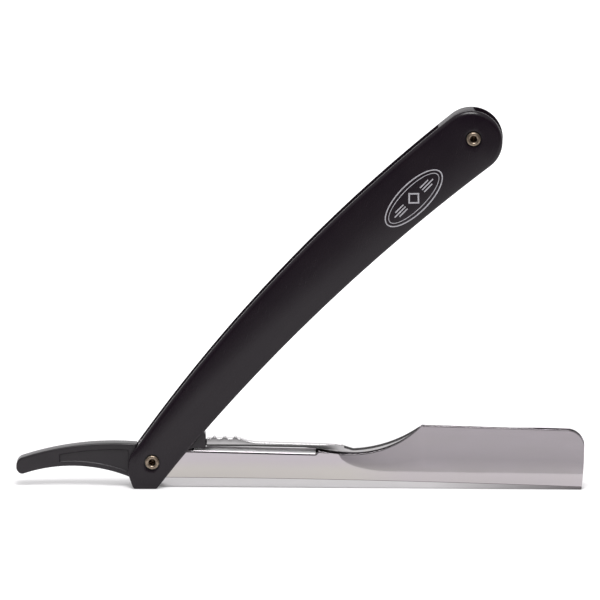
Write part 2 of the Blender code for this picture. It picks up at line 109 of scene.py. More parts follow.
# Edges sharper than this are not shaded smooth
SHARP_DEG = 32.0
# Width of the flat border round a plate's faces
RIM_BORDER = 0.06

# Handle
BACK_ARC_CENTRE = (72.4, -441.6)
BACK_ARC_RADIUS = 453.38
FRONT_ARC_CENTRE = (49.7, -532.0)
FRONT_ARC_RADIUS = 528.63
END_CAP_ALONG = 126.4
BACK_ARC_START = -3.4
SPACER_REACH = 123.1
SPACER_INSET = 1.1
SPACER_INSET_TURNS = (-70.0, 42.0)
SPACER_INSET_EASE = 10.0
SCALE_CROWN = 0.7
SCALE_RIM_REACH = 1.2
HEEL_RIM_REACH = 0.3
HEEL_RIM_SHARE = 0.4
HEEL_RIM_END = -3.0
HEEL_RIM_EASE = 10.0
CROWN_START = -9.0
CROWN_EASE = 14.0
HEEL_RADIUS = 0.9
SCALE_RIM_DROP = 0.85
SCALE_INNER_RIM = 0.2

# Rivets
RIVET_BORE = 0.85
RIVET_BORE_DEPTH = 3.2
RIVET_SHAFT = 1.2
RIVET_HOLE = 1.5
RIVET_SEAT = 2.3
SEAT_DEPTH = 0.5
SEAT_LIP = 0.12
HEAD_LIP = 0.57
HEAD_RADIUS = 1.92
HEAD_BACK = 4.42

# Arm shell
SHEET = 0.45
TANG_LOBE_TOP = 5.0
LOBE_RADIUS = 0.6
LOBE_END = 0.8
LOBE_FOOT = 2.6
SLOT_END = 45.0
FRONT_TOP = (3.3, 2.25)
REAR_TOP = (3.45, 3.0)
STEP_TOP = 3.0
STEP_PEAK = 46.1
STEP_FOOT = 53.4
SLOT_LIP = 0.25
SHEET_LIP = 0.05
SLOT_LEAN = 0.075
LEAN_HEIGHT = 0.3
WEB_START = 11.4
WEB_HALF = 1.9
WEB_DEPTH = 0.4
WEB_DROP = 0.005
WEB_LIP_DROP = 0.3
WEB_LIP_LEAST = 0.05
WEB_LIP_DEPTH = 0.1
SHOULDER_BOTTOM = (55.5, 2.1)
SHOULDER_RADIUS = 26.4
HEAD_CORNER = 74.4
NOSE_RADIUS = 4.9
NOSE_CENTRE = (NOSE_END - NOSE_RADIUS, 4.15)
NOSE_CUT = 0.75
REAR_RISE = 0.28
REAR_RISE_FROM = 98.0
REAR_RISE_LENGTH = 12.0
TAPER_START = 10.0
TANG_HALF_WIDTH = 2.2
NOSE_HALF_WIDTH = 1.8
HEAD_SLOPE_AT_FOOT = 0.113
HEAD_HOLLOW = 0.0016
# Share of that lean on the wall's inner side, which leaves room for the leaf to open
INNER_LEAN = 0.8
PLANE_START = 51.5
PLANE_LEVEL_FROM = 66.0
PLANE_LOW = -3.0
PLANE_HIGH = 2.2
PLANE_SOFTNESS = 0.25
CREASE_AT_TANG = 2.95
CREASE_AT_NOSE = 0.85
CREASE_BEND = 1.7
CREASE_WIDTH = 0.09
CREASE_DEPTH = 0.1
FOOT_FLARE = 0.08

# Tang and tail
TAIL_END = -4.35
TAIL_TOP = ((-35.9, 0.7), (-18.0, 4.5), (TAIL_END, 4.65))
TAIL_UNDER = ((-35.6, -3.95), (-21.5, -1.7), (-6.1, -4.85))
PANEL_DEPTH = 0.45
INSERT_HALF = 1.4
STOP_HALF = 2.1
STOP_CLEARANCE = 0.33
STOP_END = 14.75
CHEEK_INNER = 1.6
TANG_PIN = (5.4, 1.1)
TANG_PIN_RADIUS = 0.7
TANG_PIN_HOLE = 0.95
HINGE_PIN_RADIUS = 0.65
HINGE_PIN_HALF = 1.1

# Clamp leaf
EYE_BORE = 0.85
EYE_RADIUS = 1.3
LEAF_HALF = 0.2
LEAF_SHOULDER = ((55.5, 3.45), (65.0, 5.25), (73.8, 9.75))
LEVER_HALF = 1.3
LEVER_START = 15.05
LEVER_END = 53.0
LEVER_FOOT = 3.95
LEVER_FLARE = 0.2
FLARE_HEIGHT = 0.6
FACE_LEAN = 0.06
LEVER_ROUND = 0.22
RIB_FOOT = 6.15
RIB_PITCH = 2.9
RIB_FIRST = 17.1
RIBS_END = 24.2
RIB_HEIGHT = 0.5
LEVER_BACK = ((RIBS_END, RIB_FOOT), (25.2, 5.8), (26.5, 5.4), (28.5, 5.1), (41.0, 4.8), (LEVER_END, 4.5))
LEVER_BOTTOM = ((LEVER_START, LEVER_FOOT), (28.0, LEVER_FOOT), (42.0, 3.8), (47.0, 3.4), (LEVER_END, 2.8))
LEVER_NARROWS_FROM = 46.0
FLARE_FADES_FROM = 38.0
LEAF_NUBS = (84.0, 106.0)
NUB_HEIGHT = 5.6

# Reach of a cutter past both faces of what it cuts
CUT_REACH = 5.0


# Outlines in the side view ---------------------------------

def solve(error, low, high):
    """The root of error between low and high, by halving."""
    rising = error(high) > error(low)
    for _ in range(50):
        middle = (low + high) / 2
        if (error(middle) > 0) == rising:
            high = middle
        else:
            low = middle
    return (low + high) / 2


def spaced(first, last, steps):
    return [first + (last - first) * index / steps for index in range(steps + 1)]


def arc(centre, radius, start_deg, end_deg, steps):
    angles = [math.radians(angle) for angle in spaced(start_deg, end_deg, steps)]
    return [(centre[0] + radius * math.cos(angle), centre[1] + radius * math.sin(angle)) for angle in angles]


def circle_through(a, b, c):
    """Centre and radius of the circle through three points."""
    turn = 2 * (a[0] * (b[1] - c[1]) + b[0] * (c[1] - a[1]) + c[0] * (a[1] - b[1]))
    squares = [p[0] ** 2 + p[1] ** 2 for p in (a, b, c)]
    x = squares[0] * (b[1] - c[1]) + squares[1] * (c[1] - a[1]) + squares[2] * (a[1] - b[1])
    z = squares[0] * (c[0] - b[0]) + squares[1] * (a[0] - c[0]) + squares[2] * (b[0] - a[0])
    centre = (x / turn, z / turn)
    return centre, math.dist(centre, a)


def crown_height(three_points, x):
    """Height at x of the upper side of the circle through three points."""
    centre, radius = circle_through(*three_points)
    return centre[1] + math.sqrt(radius ** 2 - (x - centre[0]) ** 2)


def filleted(corners, steps=8):
    """A closed outline from (x, z, radius) corners; radius 0 keeps the point as it is."""
    points = []
    for index, (x, z, radius) in enumerate(corners):
        if radius == 0:
            points.append((x, z))
            continue
        before = corners[index - 1]
        after = corners[(index + 1) % len(corners)]
        to_before = math.atan2(before[1] - z, before[0] - x)
        to_after = math.atan2(after[1] - z, after[0] - x)
        opening = (to_after - to_before + math.pi) % (2 * math.pi) - math.pi
        middle = to_before + opening / 2
        reach = radius / math.sin(abs(opening) / 2)
        centre = (x + reach * math.cos(middle), z + reach * math.sin(middle))
        sweep = math.copysign(math.pi - abs(opening), -opening)
        first = math.degrees(middle + math.pi - sweep / 2)
        points += arc(centre, radius, first, first + math.degrees(sweep), steps)
    return points


def signed_area(outline):
    pairs = zip(outline, outline[1:] + outline[:1])
    return sum(a[0] * b[1] - b[0] * a[1] for a, b in pairs) / 2


def inset(outline, distance):
    """The outline moved inwards along its corner normals by a distance, or by a function of each point."""
    inward = 1.0 if signed_area(outline) > 0 else -1.0
    moved = []
    for index, point in enumerate(outline):
        before = outline[index - 1]
        after = outline[(index + 1) % len(outline)]
        one = math.atan2(point[1] - before[1], point[0] - before[0])
        two = math.atan2(after[1] - point[1], after[0] - point[0])
        turn = (two - one + math.pi) % (2 * math.pi) - math.pi
        normal = one + turn / 2 + inward * math.pi / 2
        reach = (distance(*point) if callable(distance) else distance) / math.cos(turn / 2)
        moved.append((point[0] + reach * math.cos(normal), point[1] + reach * math.sin(normal)))
    return moved


def inside(point, outline):
    """Whether a point lies in a closed outline, by counting the edges to its right."""
    crossings = 0
    for a, b in zip(outline, outline[1:] + outline[:1]):
        if (a[1] > point[1]) != (b[1] > point[1]):
            if point[0] < a[0] + (b[0] - a[0]) * (point[1] - a[1]) / (b[1] - a[1]):
                crossings += 1
    return crossings % 2 == 1


# Mesh building ---------------------------------------------

def bridge(shape, one, two, closed=True):
    last = len(one) if closed else len(one) - 1
    for index in range(last):
        following = (index + 1) % len(one)
        shape.faces.new((one[index], one[following], two[following], two[index]))


def rim(radius, steps=6):
    """(depth, inset) pairs from the flat face to the full outline, for a rim rounded to radius."""
    angles = [math.radians(angle) for angle in spaced(0.0, 90.0, steps)]
    return [(radius * (1 - math.cos(angle)), radius * (1 - math.sin(angle))) for angle in angles]


def loft(sections):
    """A closed piece through sections of (x, y, z) points, with flat ends."""
    shape = bmesh.new()
    rings = [[shape.verts.new(point) for point in section] for section in sections]
    for one, two in zip(rings, rings[1:]):
        bridge(shape, one, two)
    shape.faces.new(rings[0])
    shape.faces.new(rings[-1])
    bmesh.ops.recalc_face_normals(shape, faces=shape.faces)
    return shape


def layered(outline, levels):
    """A closed piece from copies of an outline, one for each (y, inset) level."""
    return loft([[(x, y, z) for x, z in inset(outline, inwards)] for y, inwards in levels])


def plate(outline, near, far, near_round=0.1, far_round=0.1):
    """A flat piece from Y = near to Y = far with rounded rims; a narrow border keeps its faces flat."""
    levels = [(near, near_round + RIM_BORDER)]
    levels += [(near + depth, inwards) for depth, inwards in rim(near_round)]
    levels += [(far - depth, inwards) for depth, inwards in reversed(rim(far_round))]
    levels += [(far, far_round + RIM_BORDER)]
    return layered(outline, levels)


def turned(profile, centre=(0.0, 0.0), segments=64):
    """A closed (radius, y) profile turned about the Y axis through centre; radius 0 closes on the axis."""
    shape = bmesh.new()
    rings = []
    for radius, y in profile:
        points = arc(centre, radius, 0.0, 360.0, segments)[:-1] if radius else [centre]
        rings.append([shape.verts.new((x, y, z)) for x, z in points])
    open_ended = len(rings[0]) == 1
    pairs = list(zip(rings, rings[1:])) if open_ended else list(zip(rings, rings[1:] + rings[:1]))
    for one, two in pairs:
        if len(one) > 1 and len(two) > 1:
            bridge(shape, one, two)
            continue
        tip, ring = (one[0], two) if len(one) == 1 else (two[0], one)
        for index in range(len(ring)):
            shape.faces.new((tip, ring[index], ring[(index + 1) % len(ring)]))
    bmesh.ops.recalc_face_normals(shape, faces=shape.faces)
    return shape


def rod(radius, low, high, centre=(0.0, 0.0), bevel=0.0):
    ends = [(0, low), (radius - bevel, low), (radius, low + bevel), (radius, high - bevel)]
    ends += [(radius - bevel, high), (0, high)]
    return turned(ends if bevel else [(0, low), (radius, low), (radius, high), (0, high)], centre)


def as_object(name, shape):
    mesh = bpy.data.meshes.new(name)
    shape.to_mesh(mesh)
    shape.free()
    made = bpy.data.objects.new(name, mesh)
    bpy.context.scene.collection.objects.link(made)
    return made


def combined(first, *steps):
    """The first shape after each (operation, shape) Boolean step."""
    target = as_object("working_shape", first)
    tools = []
    for operation, shape in steps:
        tools.append(as_object("working_tool", shape))
        step = target.modifiers.new(operation.lower(), "BOOLEAN")
        step.operation = operation
        step.solver = "EXACT"
        step.object = tools[-1]
    evaluated = target.evaluated_get(bpy.context.evaluated_depsgraph_get())
    result = bmesh.new()
    result.from_mesh(evaluated.data)
    for item in [target, *tools]:
        bpy.data.objects.remove(item, do_unlink=True)
    return result


def finish_piece(name, shape, body, finish, stands_for=None):
    """Turns a shape in millimetres into a named piece that rides on its body."""
    shape.transform(Matrix.Scale(MM, 4) @ BODY_AXES[body])
    bmesh.ops.recalc_face_normals(shape, faces=shape.faces)
    made = as_object(name, shape)
    made.data.shade_smooth()
    made.data.set_sharp_from_angle(angle=math.radians(SHARP_DEG))
    made.data.materials.append(finish)
    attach(made, body)
    if stands_for:
        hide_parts(stands_for)
    return made


# Handle ----------------------------------------------------

def back_edge(along):
    return BACK_ARC_CENTRE[1] + math.sqrt(BACK_ARC_RADIUS ** 2 - (along - BACK_ARC_CENTRE[0]) ** 2)


def front_edge(along):
    return FRONT_ARC_CENTRE[1] + math.sqrt(FRONT_ARC_RADIUS ** 2 - (along - FRONT_ARC_CENTRE[0]) ** 2)


def along_handle(x, z):
    """A point of the side view, turned into the handle's own axes."""
    return (
        x * math.cos(OPENING) + z * math.sin(OPENING),
        z * math.cos(OPENING) - x * math.sin(OPENING),
    )


def end_cap():
    """Centre and radius of the round end, which is tangent to both long edges."""
    def back_room(across):
        return BACK_ARC_RADIUS - math.dist((END_CAP_ALONG, across), BACK_ARC_CENTRE)

    def front_room(across):
        return math.dist((END_CAP_ALONG, across), FRONT_ARC_CENTRE) - FRONT_ARC_RADIUS

    across = solve(lambda value: front_room(value) - back_room(value), -5.0, 5.0)
    return (END_CAP_ALONG, across), back_room(across)


CAP, CAP_RADIUS = end_cap()


def heel_on_front_edge():
    """Where the front edge reaches the ground at the opening that the razor stands at."""
    def height(along):
        return along * math.sin(OPENING) + front_edge(along) * math.cos(OPENING) - GROUND

    along = solve(height, -12.0, 5.0)
    return along, front_edge(along)


def scale_outline(steps=70):
    back_turn = math.atan2(CAP[1] - BACK_ARC_CENTRE[1], CAP[0] - BACK_ARC_CENTRE[0])
    front_turn = math.atan2(FRONT_ARC_CENTRE[1] - CAP[1], FRONT_ARC_CENTRE[0] - CAP[0])
    back_meet = CAP[0] + CAP_RADIUS * math.cos(back_turn)
    front_meet = CAP[0] + CAP_RADIUS * math.cos(front_turn)
    heel = heel_on_front_edge()
    corners = [(*heel, HEEL_RADIUS)]
    corners += [(u, front_edge(u), 0) for u in spaced(heel[0] + 3.0, front_meet, steps)]
    turn_degrees = (math.degrees(front_turn), math.degrees(back_turn))
    corners += [(u, v, 0) for u, v in arc(CAP, CAP_RADIUS, *turn_degrees, 48)[1:-1]]
    corners += [(u, back_edge(u), 0) for u in spaced(back_meet, BACK_ARC_START + 3.0, steps)]
    corners += [(BACK_ARC_START, back_edge(BACK_ARC_START), 4.0)]
    corners += [(*along_handle(-6.75, -3.2), 3.5), (*along_handle(-5.2, GROUND), HEEL_RADIUS)]
    return filleted(corners)


def face_height(along, across):
    """How far out a scale's outer face lies: furthest on its middle line, less towards its outline."""
    if along > CAP[0]:
        fall = ((along - CAP[0]) ** 2 + (across - CAP[1]) ** 2) / CAP_RADIUS ** 2
    else:
        half = (back_edge(along) - front_edge(along)) / 2
        middle = (back_edge(along) + front_edge(along)) / 2
        fall = ((across - middle) / half) ** 2 * smooth_step((along - CROWN_START) / CROWN_EASE)
    return SCALE_OUTER - SCALE_CROWN * min(fall, 1.0)


def ring_circle(points):
    """Centre and radius of a round ring of points."""
    centre = (sum(p[0] for p in points) / len(points), sum(p[1] for p in points) / len(points))
    return centre, math.dist(centre, points[0])


def past_heel(along):
    """0 round the heel, turning softly to 1 along the handle."""
    return smooth_step((along - HEEL_RIM_END) / HEEL_RIM_EASE)


def rim_reach(along):
    """Width of a scale's rounded rim, which is narrower round the heel."""
    return HEEL_RIM_REACH + (SCALE_RIM_REACH - HEEL_RIM_REACH) * past_heel(along)


def rim_drop(along):
    """Depth of a scale's rounded rim, which is shallower round the heel."""
    return SCALE_RIM_DROP * (HEEL_RIM_SHARE + (1 - HEEL_RIM_SHARE) * past_heel(along))


def fill_face(shape, boundary, holes, height, spacing):
    """Fills the space between a boundary ring and round hole rings with triangles that follow height."""
    outlines = [[(vert.co.x, vert.co.z) for vert in ring] for ring in (boundary, *holes)]
    verts = [vert for ring in (boundary, *holes) for vert in ring]
    edges = []
    for outline in outlines:
        first = len(edges)
        count = len(outline)
        edges += [(first + index, first + (index + 1) % count) for index in range(count)]
    circles = [ring_circle(outline) for outline in outlines[1:]]
    room = inset(outlines[0], spacing * 0.6)
    low = [min(point[axis] for point in room) for axis in (0, 1)]
    high = [max(point[axis] for point in room) for axis in (0, 1)]
    row_pitch = spacing * math.sin(math.radians(60))
    for row in range(int((high[1] - low[1]) / row_pitch) + 1):
        for column in range(int((high[0] - low[0]) / spacing) + 1):
            point = (low[0] + (column + 0.5 * (row % 2)) * spacing, low[1] + row * row_pitch)
            clear = all(math.dist(point, centre) > radius + spacing * 0.6 for centre, radius in circles)
            if clear and inside(point, room):
                verts.append(shape.verts.new((point[0], height(*point), point[1])))
    flat = [Vector((vert.co.x, vert.co.z)) for vert in verts]
    points, _, faces, origins, _, _ = delaunay_2d_cdt(flat, edges, [], 0, 1e-6)
    for face in faces:
        middle = sum((points[index] for index in face), Vector((0.0, 0.0))) / len(face)
        if inside(middle, outlines[0]) and not any(inside(middle, hole) for hole in outlines[1:]):
            shape.faces.new([verts[origins[index][0]] for index in face])


def ring_of(shape, outline, height):
    """A ring of vertices at height(x, z) over an outline."""
    return [shape.verts.new((x, height(x, z), z)) for x, z in outline]


def scale_shape(side):
    """One scale: crowned outside with a rounded rim and two rivet seats, flat inside."""
    shape = bmesh.new()
    outline = scale_outline()
    rings = []
    for depth, share in rim(1.0, 10):
        ring = inset(outline, lambda u, v, share=share: share * rim_reach(u))
        rings.append(ring_of(
            shape,
            ring,
            lambda u, v, depth=depth: side * (face_height(u, v) - depth * rim_drop(u)),
        ))
    for depth, inwards in reversed(rim(SCALE_INNER_RIM, 4)):
        rings.append(ring_of(shape, inset(outline, inwards), lambda u, v, d=depth: side * (SLOT_HALF + d)))
    for one, two in zip(rings, rings[1:]):
        bridge(shape, one, two)
    seats = []
    bores = []
    for along in (0.0, RIVET_SPAN):
        floor = SCALE_OUTER - SEAT_DEPTH
        steps = [(RIVET_SEAT + SEAT_LIP, 0.0), (RIVET_SEAT + SEAT_LIP * 0.3, SEAT_LIP * 0.3)]
        steps.append((RIVET_SEAT, SEAT_LIP))
        levels = [ring_of(
            shape,
            arc((along, 0.0), radius, 0.0, 360.0, 64)[:-1],
            lambda u, v, d=drop: side * (face_height(u, v) - d),
        ) for radius, drop in steps]
        for radius, y in ((RIVET_SEAT, floor), (RIVET_HOLE, floor), (RIVET_HOLE, SLOT_HALF)):
            circle = arc((along, 0.0), radius, 0.0, 360.0, 64)[:-1]
            levels.append(ring_of(shape, circle, lambda u, v, y=y: side * y))
        for one, two in zip(levels, levels[1:]):
            bridge(shape, one, two)
        seats.append(levels[0])
        bores.append(levels[-1])
    fill_face(shape, rings[0], seats, lambda u, v: side * face_height(u, v), 1.1)
    fill_face(shape, rings[-1], bores, lambda u, v: side * SLOT_HALF, 4.0)
    return shape


def drawn_in(point):
    """Moves a point of the round end inwards, so the block sits back between the scales past the top."""
    turn = math.degrees(math.atan2(point[1] - CAP[1], point[0] - CAP[0]))
    low, high = SPACER_INSET_TURNS
    ease = min(smooth_step((turn - low) / SPACER_INSET_EASE), smooth_step((high - turn) / SPACER_INSET_EASE))
    back = SPACER_INSET * ease / math.dist(point, CAP)
    return point[0] + (CAP[0] - point[0]) * back, point[1] + (CAP[1] - point[1]) * back


def spacer_shape():
    """Fills the slot round the end rivet; its inner side is an arc about the pivot, clear of the nose."""
    limits = []
    for edge in (front_edge, back_edge):
        along = solve(lambda u: math.hypot(u, edge(u)) - SPACER_REACH, 100.0, 130.0)
        limits.append(math.degrees(math.atan2(edge(along), along)))
    outer = [drawn_in(p) for p in scale_outline() if math.hypot(*p) > SPACER_REACH + 0.4]
    start = max(range(len(outer)), key=lambda index: math.dist(outer[index], outer[index - 1]))
    outer = outer[start:] + outer[:start]
    inner = arc((0.0, 0.0), SPACER_REACH, limits[1], limits[0], 24)
    solid = plate(outer + inner, -SPACER_HALF, SPACER_HALF, 0.08, 0.08)
    return combined(solid, ("DIFFERENCE", rod(RIVET_HOLE, -CUT_REACH, CUT_REACH, (RIVET_SPAN, 0.0))))


def rivet_shape(along):
    """Half-hollow rivet: its hollow end rolled over in front, a solid shaft, and a flat head behind."""
    bottom = RIVET_FACE - RIVET_BORE_DEPTH
    lip_centre = RIVET_BORE + HEAD_LIP
    profile = [(0, -bottom + 0.3), (RIVET_BORE * 0.5, -bottom + 0.1), (RIVET_BORE, -bottom - 0.3)]
    profile += [(r, -y) for r, y in arc((lip_centre, RIVET_FACE - HEAD_LIP), HEAD_LIP, 180.0, 0.0, 16)]
    profile += [(lip_centre + HEAD_LIP * 0.85, -WASHER_BACK), (RIVET_SHAFT, -WASHER_BACK)]
    profile += [(RIVET_SHAFT, HEAD_BACK), (HEAD_RADIUS - 0.08, HEAD_BACK)]
    profile += arc((HEAD_RADIUS - 0.12, HEAD_BACK + 0.12), 0.12, -60.0, 60.0, 4)
    profile += [(1.5, RIVET_FACE - 0.05), (0.8, RIVET_FACE - 0.01), (0, RIVET_FACE)]
    return turned(profile, (along, 0.0))


def washer_shape(along):
    inner = RIVET_SHAFT + 0.2
    edge = 0.06
    ring = [(inner, WASHER_BACK), (WASHER_RADIUS - edge, WASHER_BACK), (WASHER_RADIUS, WASHER_BACK + edge)]
    ring += [(WASHER_RADIUS, WASHER_FACE - edge), (WASHER_RADIUS - edge, WASHER_FACE), (inner, WASHER_FACE)]
    return turned(ring, (along, 0.0))


# Printed mark: a plain oval badge of thin white lines ------

MARK_CENTRE = (104.2, 0.2)
OVALS = ((10.6, 4.3, 0.34), (9.5, 3.2, 0.2))
BAR_WIDTH = 0.34
DIAMOND = 2.1
DIAMOND_HOLLOW = 0.72
BAR_START = 3.3
BAR_END = 7.6
BAR_TAPER = 1.4
BAR_PITCH = 0.8
INK_THICKNESS = 0.015
INK_LIFT = 0.002


def ink_strip(shape, lefts, rights, closed=False):
    """A thin solid line of ink on the front scale between two rows of points."""
    def row(points, lift):
        placed = [(MARK_CENTRE[0] + u, MARK_CENTRE[1] + v) for u, v in points]
        return [shape.verts.new((u, -face_height(u, v) - lift, v)) for u, v in placed]

    rows = [row(lefts, INK_THICKNESS), row(rights, INK_THICKNESS)]
    rows += [row(rights, INK_LIFT), row(lefts, INK_LIFT)]
    for one, two in zip(rows, rows[1:] + rows[:1]):
        bridge(shape, one, two, closed)
    if not closed:
        for end in (0, -1):
            shape.faces.new([line[end] for line in rows])


def oval(half_length, half_height, steps=96):
    turns = [2 * math.pi * index / steps for index in range(steps)]
    return [(half_length * math.cos(turn), half_height * math.sin(turn)) for turn in turns]


def ink_bar(shape, start, end, width, steps=8):
    """A straight line of ink from start to end."""
    direction = math.atan2(end[1] - start[1], end[0] - start[0])
    side = (-math.sin(direction) * width / 2, math.cos(direction) * width / 2)
    rise = (end[0] - start[0], end[1] - start[1])
    middles = [(start[0] + rise[0] * share, start[1] + rise[1] * share) for share in spaced(0, 1, steps)]
    lefts = [(u + side[0], v + side[1]) for u, v in middles]
    rights = [(u - side[0], v - side[1]) for u, v in middles]
    ink_strip(shape, lefts, rights)


def mark_shape():
    """Two ovals, a hollow diamond in the middle, and three bars on each side of it."""
    shape = bmesh.new()
    for half_length, half_height, width in OVALS:
        ink_strip(
            shape,
            oval(half_length, half_height),
            oval(half_length - width, half_height - width),
            closed=True,
        )
    diamond = [(-DIAMOND, 0.0), (0.0, DIAMOND), (DIAMOND, 0.0), (0.0, -DIAMOND)]
    small = [(u * DIAMOND_HOLLOW, v * DIAMOND_HOLLOW) for u, v in diamond]
    ink_strip(shape, diamond, small, closed=True)
    for side in (-1, 1):
        for v in (-BAR_PITCH, 0.0, BAR_PITCH):
            reach = BAR_END - abs(v) * BAR_TAPER
            ink_bar(shape, (side * BAR_START, v), (side * reach, v), BAR_WIDTH)
    return shape


# Arm shell -------------------------------------------------

def tapered(at_tang, at_nose, x):
    """A size that changes evenly from the start of the taper to the nose."""
    share = min(max((x - TAPER_START) / (NOSE_END - TAPER_START), 0.0), 1.0)
    return at_tang + (at_nose - at_tang) * share


def crease_height(x):
    """Height of the crease over the flat spine, falling faster towards the nose."""
    share = min(max((x - TAPER_START) / (NOSE_END - TAPER_START), 0.0), 1.0)
    return CREASE_AT_TANG + (CREASE_AT_NOSE - CREASE_AT_TANG) * share ** CREASE_BEND


def smooth_step(share):
    share = min(max(share, 0.0), 1.0)
    return share * share * (3 - 2 * share)


def wall_top(ends, x):
    """Top of a wall over the tang: straight from its height at the start to that at the slot's end."""
    return ends[0] + (ends[1] - ends[0]) * (x - ARM_START) / (SLOT_END - ARM_START)


def tang_top(ends, x):
    """Top of a wall from the arm's start: a round lobe over the pivot, then the straight line."""
    if x < LOBE_END:
        corner = max(ARM_START + LOBE_RADIUS - x, 0.0) / LOBE_RADIUS
        return TANG_LOBE_TOP - LOBE_RADIUS * (1 - math.sqrt(max(1 - corner ** 2, 0.0)))
    low = wall_top(ends, x)
    return low + (TANG_LOBE_TOP - low) * (1 - smooth_step((x - LOBE_END) / (LOBE_FOOT - LOBE_END)))


def shoulder_height(x):
    drop = math.sqrt(SHOULDER_RADIUS ** 2 - (x - SHOULDER_BOTTOM[0]) ** 2)
    return SHOULDER_BOTTOM[1] + SHOULDER_RADIUS - drop


def top_height(x, ends):
    """Height of a wall's top edge, from the tang over the step and the shoulder to the nose."""
    if x <= SLOT_END:
        return tang_top(ends, x)
    if x <= STEP_PEAK:
        return ends[1] + (STEP_TOP - ends[1]) * ((x - SLOT_END) / (STEP_PEAK - SLOT_END)) ** 2
    if x <= STEP_FOOT:
        share = (x - STEP_PEAK) / (STEP_FOOT - STEP_PEAK)
        return STEP_TOP + (SHOULDER_BOTTOM[1] - STEP_TOP) * (1 - (1 - share) ** 2)
    if x <= SHOULDER_BOTTOM[0]:
        return SHOULDER_BOTTOM[1]
    if x <= HEAD_CORNER:
        return shoulder_height(x)
    head_top = NOSE_CENTRE[1] + NOSE_RADIUS
    if x <= NOSE_CENTRE[0]:
        share = (x - HEAD_CORNER) / (NOSE_CENTRE[0] - HEAD_CORNER)
        return shoulder_height(HEAD_CORNER) + (head_top - shoulder_height(HEAD_CORNER)) * share
    return NOSE_CENTRE[1] + math.sqrt(max(NOSE_RADIUS ** 2 - (x - NOSE_CENTRE[0]) ** 2, 0.0))


def plane_foot(x):
    """Lower boundary of the head's inclined plane: a quarter ellipse that runs out level."""
    if x >= PLANE_LEVEL_FROM:
        return PLANE_LOW - 0.5 * (x - PLANE_LEVEL_FROM) / (NOSE_END - PLANE_LEVEL_FROM)
    share = min((PLANE_LEVEL_FROM - x) / (PLANE_LEVEL_FROM - PLANE_START), 1.0)
    return PLANE_LOW + (PLANE_HIGH - PLANE_LOW) * (1 - math.sqrt(1 - share ** 2))


def shell_stations():
    """Places along the arm, closer together where its outline or its plane curves."""
    lobe_turns = [math.radians(turn) for turn in spaced(0.0, 90.0, 8)]
    stations = [ARM_START + LOBE_RADIUS * (1 - math.cos(turn)) for turn in lobe_turns]
    stations += spaced(LOBE_END, LOBE_FOOT, 8) + spaced(LOBE_FOOT, SLOT_END, 24)
    stations += spaced(SLOT_END, STEP_PEAK, 10) + spaced(STEP_PEAK, PLANE_START, 8)
    stations += spaced(STEP_FOOT, HEAD_CORNER, 34)
    reach = PLANE_LEVEL_FROM - PLANE_START
    plane_turns = [math.radians(turn) for turn in spaced(0.0, 90.0, 26)]
    stations += [PLANE_LEVEL_FROM - reach * math.cos(turn) for turn in plane_turns]
    stations += spaced(HEAD_CORNER, NOSE_CENTRE[0], 20)
    nose_turns = [math.radians(turn) for turn in spaced(0.0, 90.0, 24)]
    stations += [NOSE_CENTRE[0] + NOSE_RADIUS * math.sin(turn) for turn in nose_turns]
    kept = []
    for x in sorted(stations):
        if not kept or x - kept[-1] > 0.02:
            kept.append(x)
    return kept


def wall_lean(x, z):
    """How far the head's inclined plane leans in at a height, turning softly out of the upright wall."""
    above = z - plane_foot(x)
    above = (above + math.sqrt(above ** 2 + PLANE_SOFTNESS ** 2)) / 2
    return HEAD_SLOPE_AT_FOOT * above - HEAD_HOLLOW * above ** 2


def wall_heights(x, top, low):
    """Heights down one wall, from its top to low, gathered round the foot of the inclined plane."""
    foot = min(max(plane_foot(x), low + 0.8), top - 0.8)
    upper = [top, top - 0.06] + [top - (top - foot - 0.5) * share for share in (0.35, 0.7)]
    lower = [foot - 0.5 - (foot - 0.5 - low) * share for share in (0.35, 0.7, 1.0)]
    return upper + [foot + 0.5, foot + 0.22, foot, foot - 0.22, foot - 0.5] + lower


def fold_curve(crease):
    """(inward, up) points of the folded foot under the crease, ending on the flat spine."""
    one, two, end = (0.05 * crease, 0.5 * crease), (0.2 * crease, 0.06 * crease), (0.38 * crease, 0.0)
    points = []
    for t in spaced(0.0, 1.0, 7)[1:]:
        a = (1 - t) ** 3
        b = 3 * t * (1 - t) ** 2
        c = 3 * t * t * (1 - t)
        points.append((b * one[0] + c * two[0] + t ** 3 * end[0], a * crease + b * one[1] + c * two[1]))
    return points


def lip_radius(x):
    """Rounding of a wall's outer top edge, larger along the slot than on the bare sheet edge of the head."""
    return SHEET_LIP + (SLOT_LIP - SHEET_LIP) * (1 - smooth_step((x - SLOT_END) / 1.5))


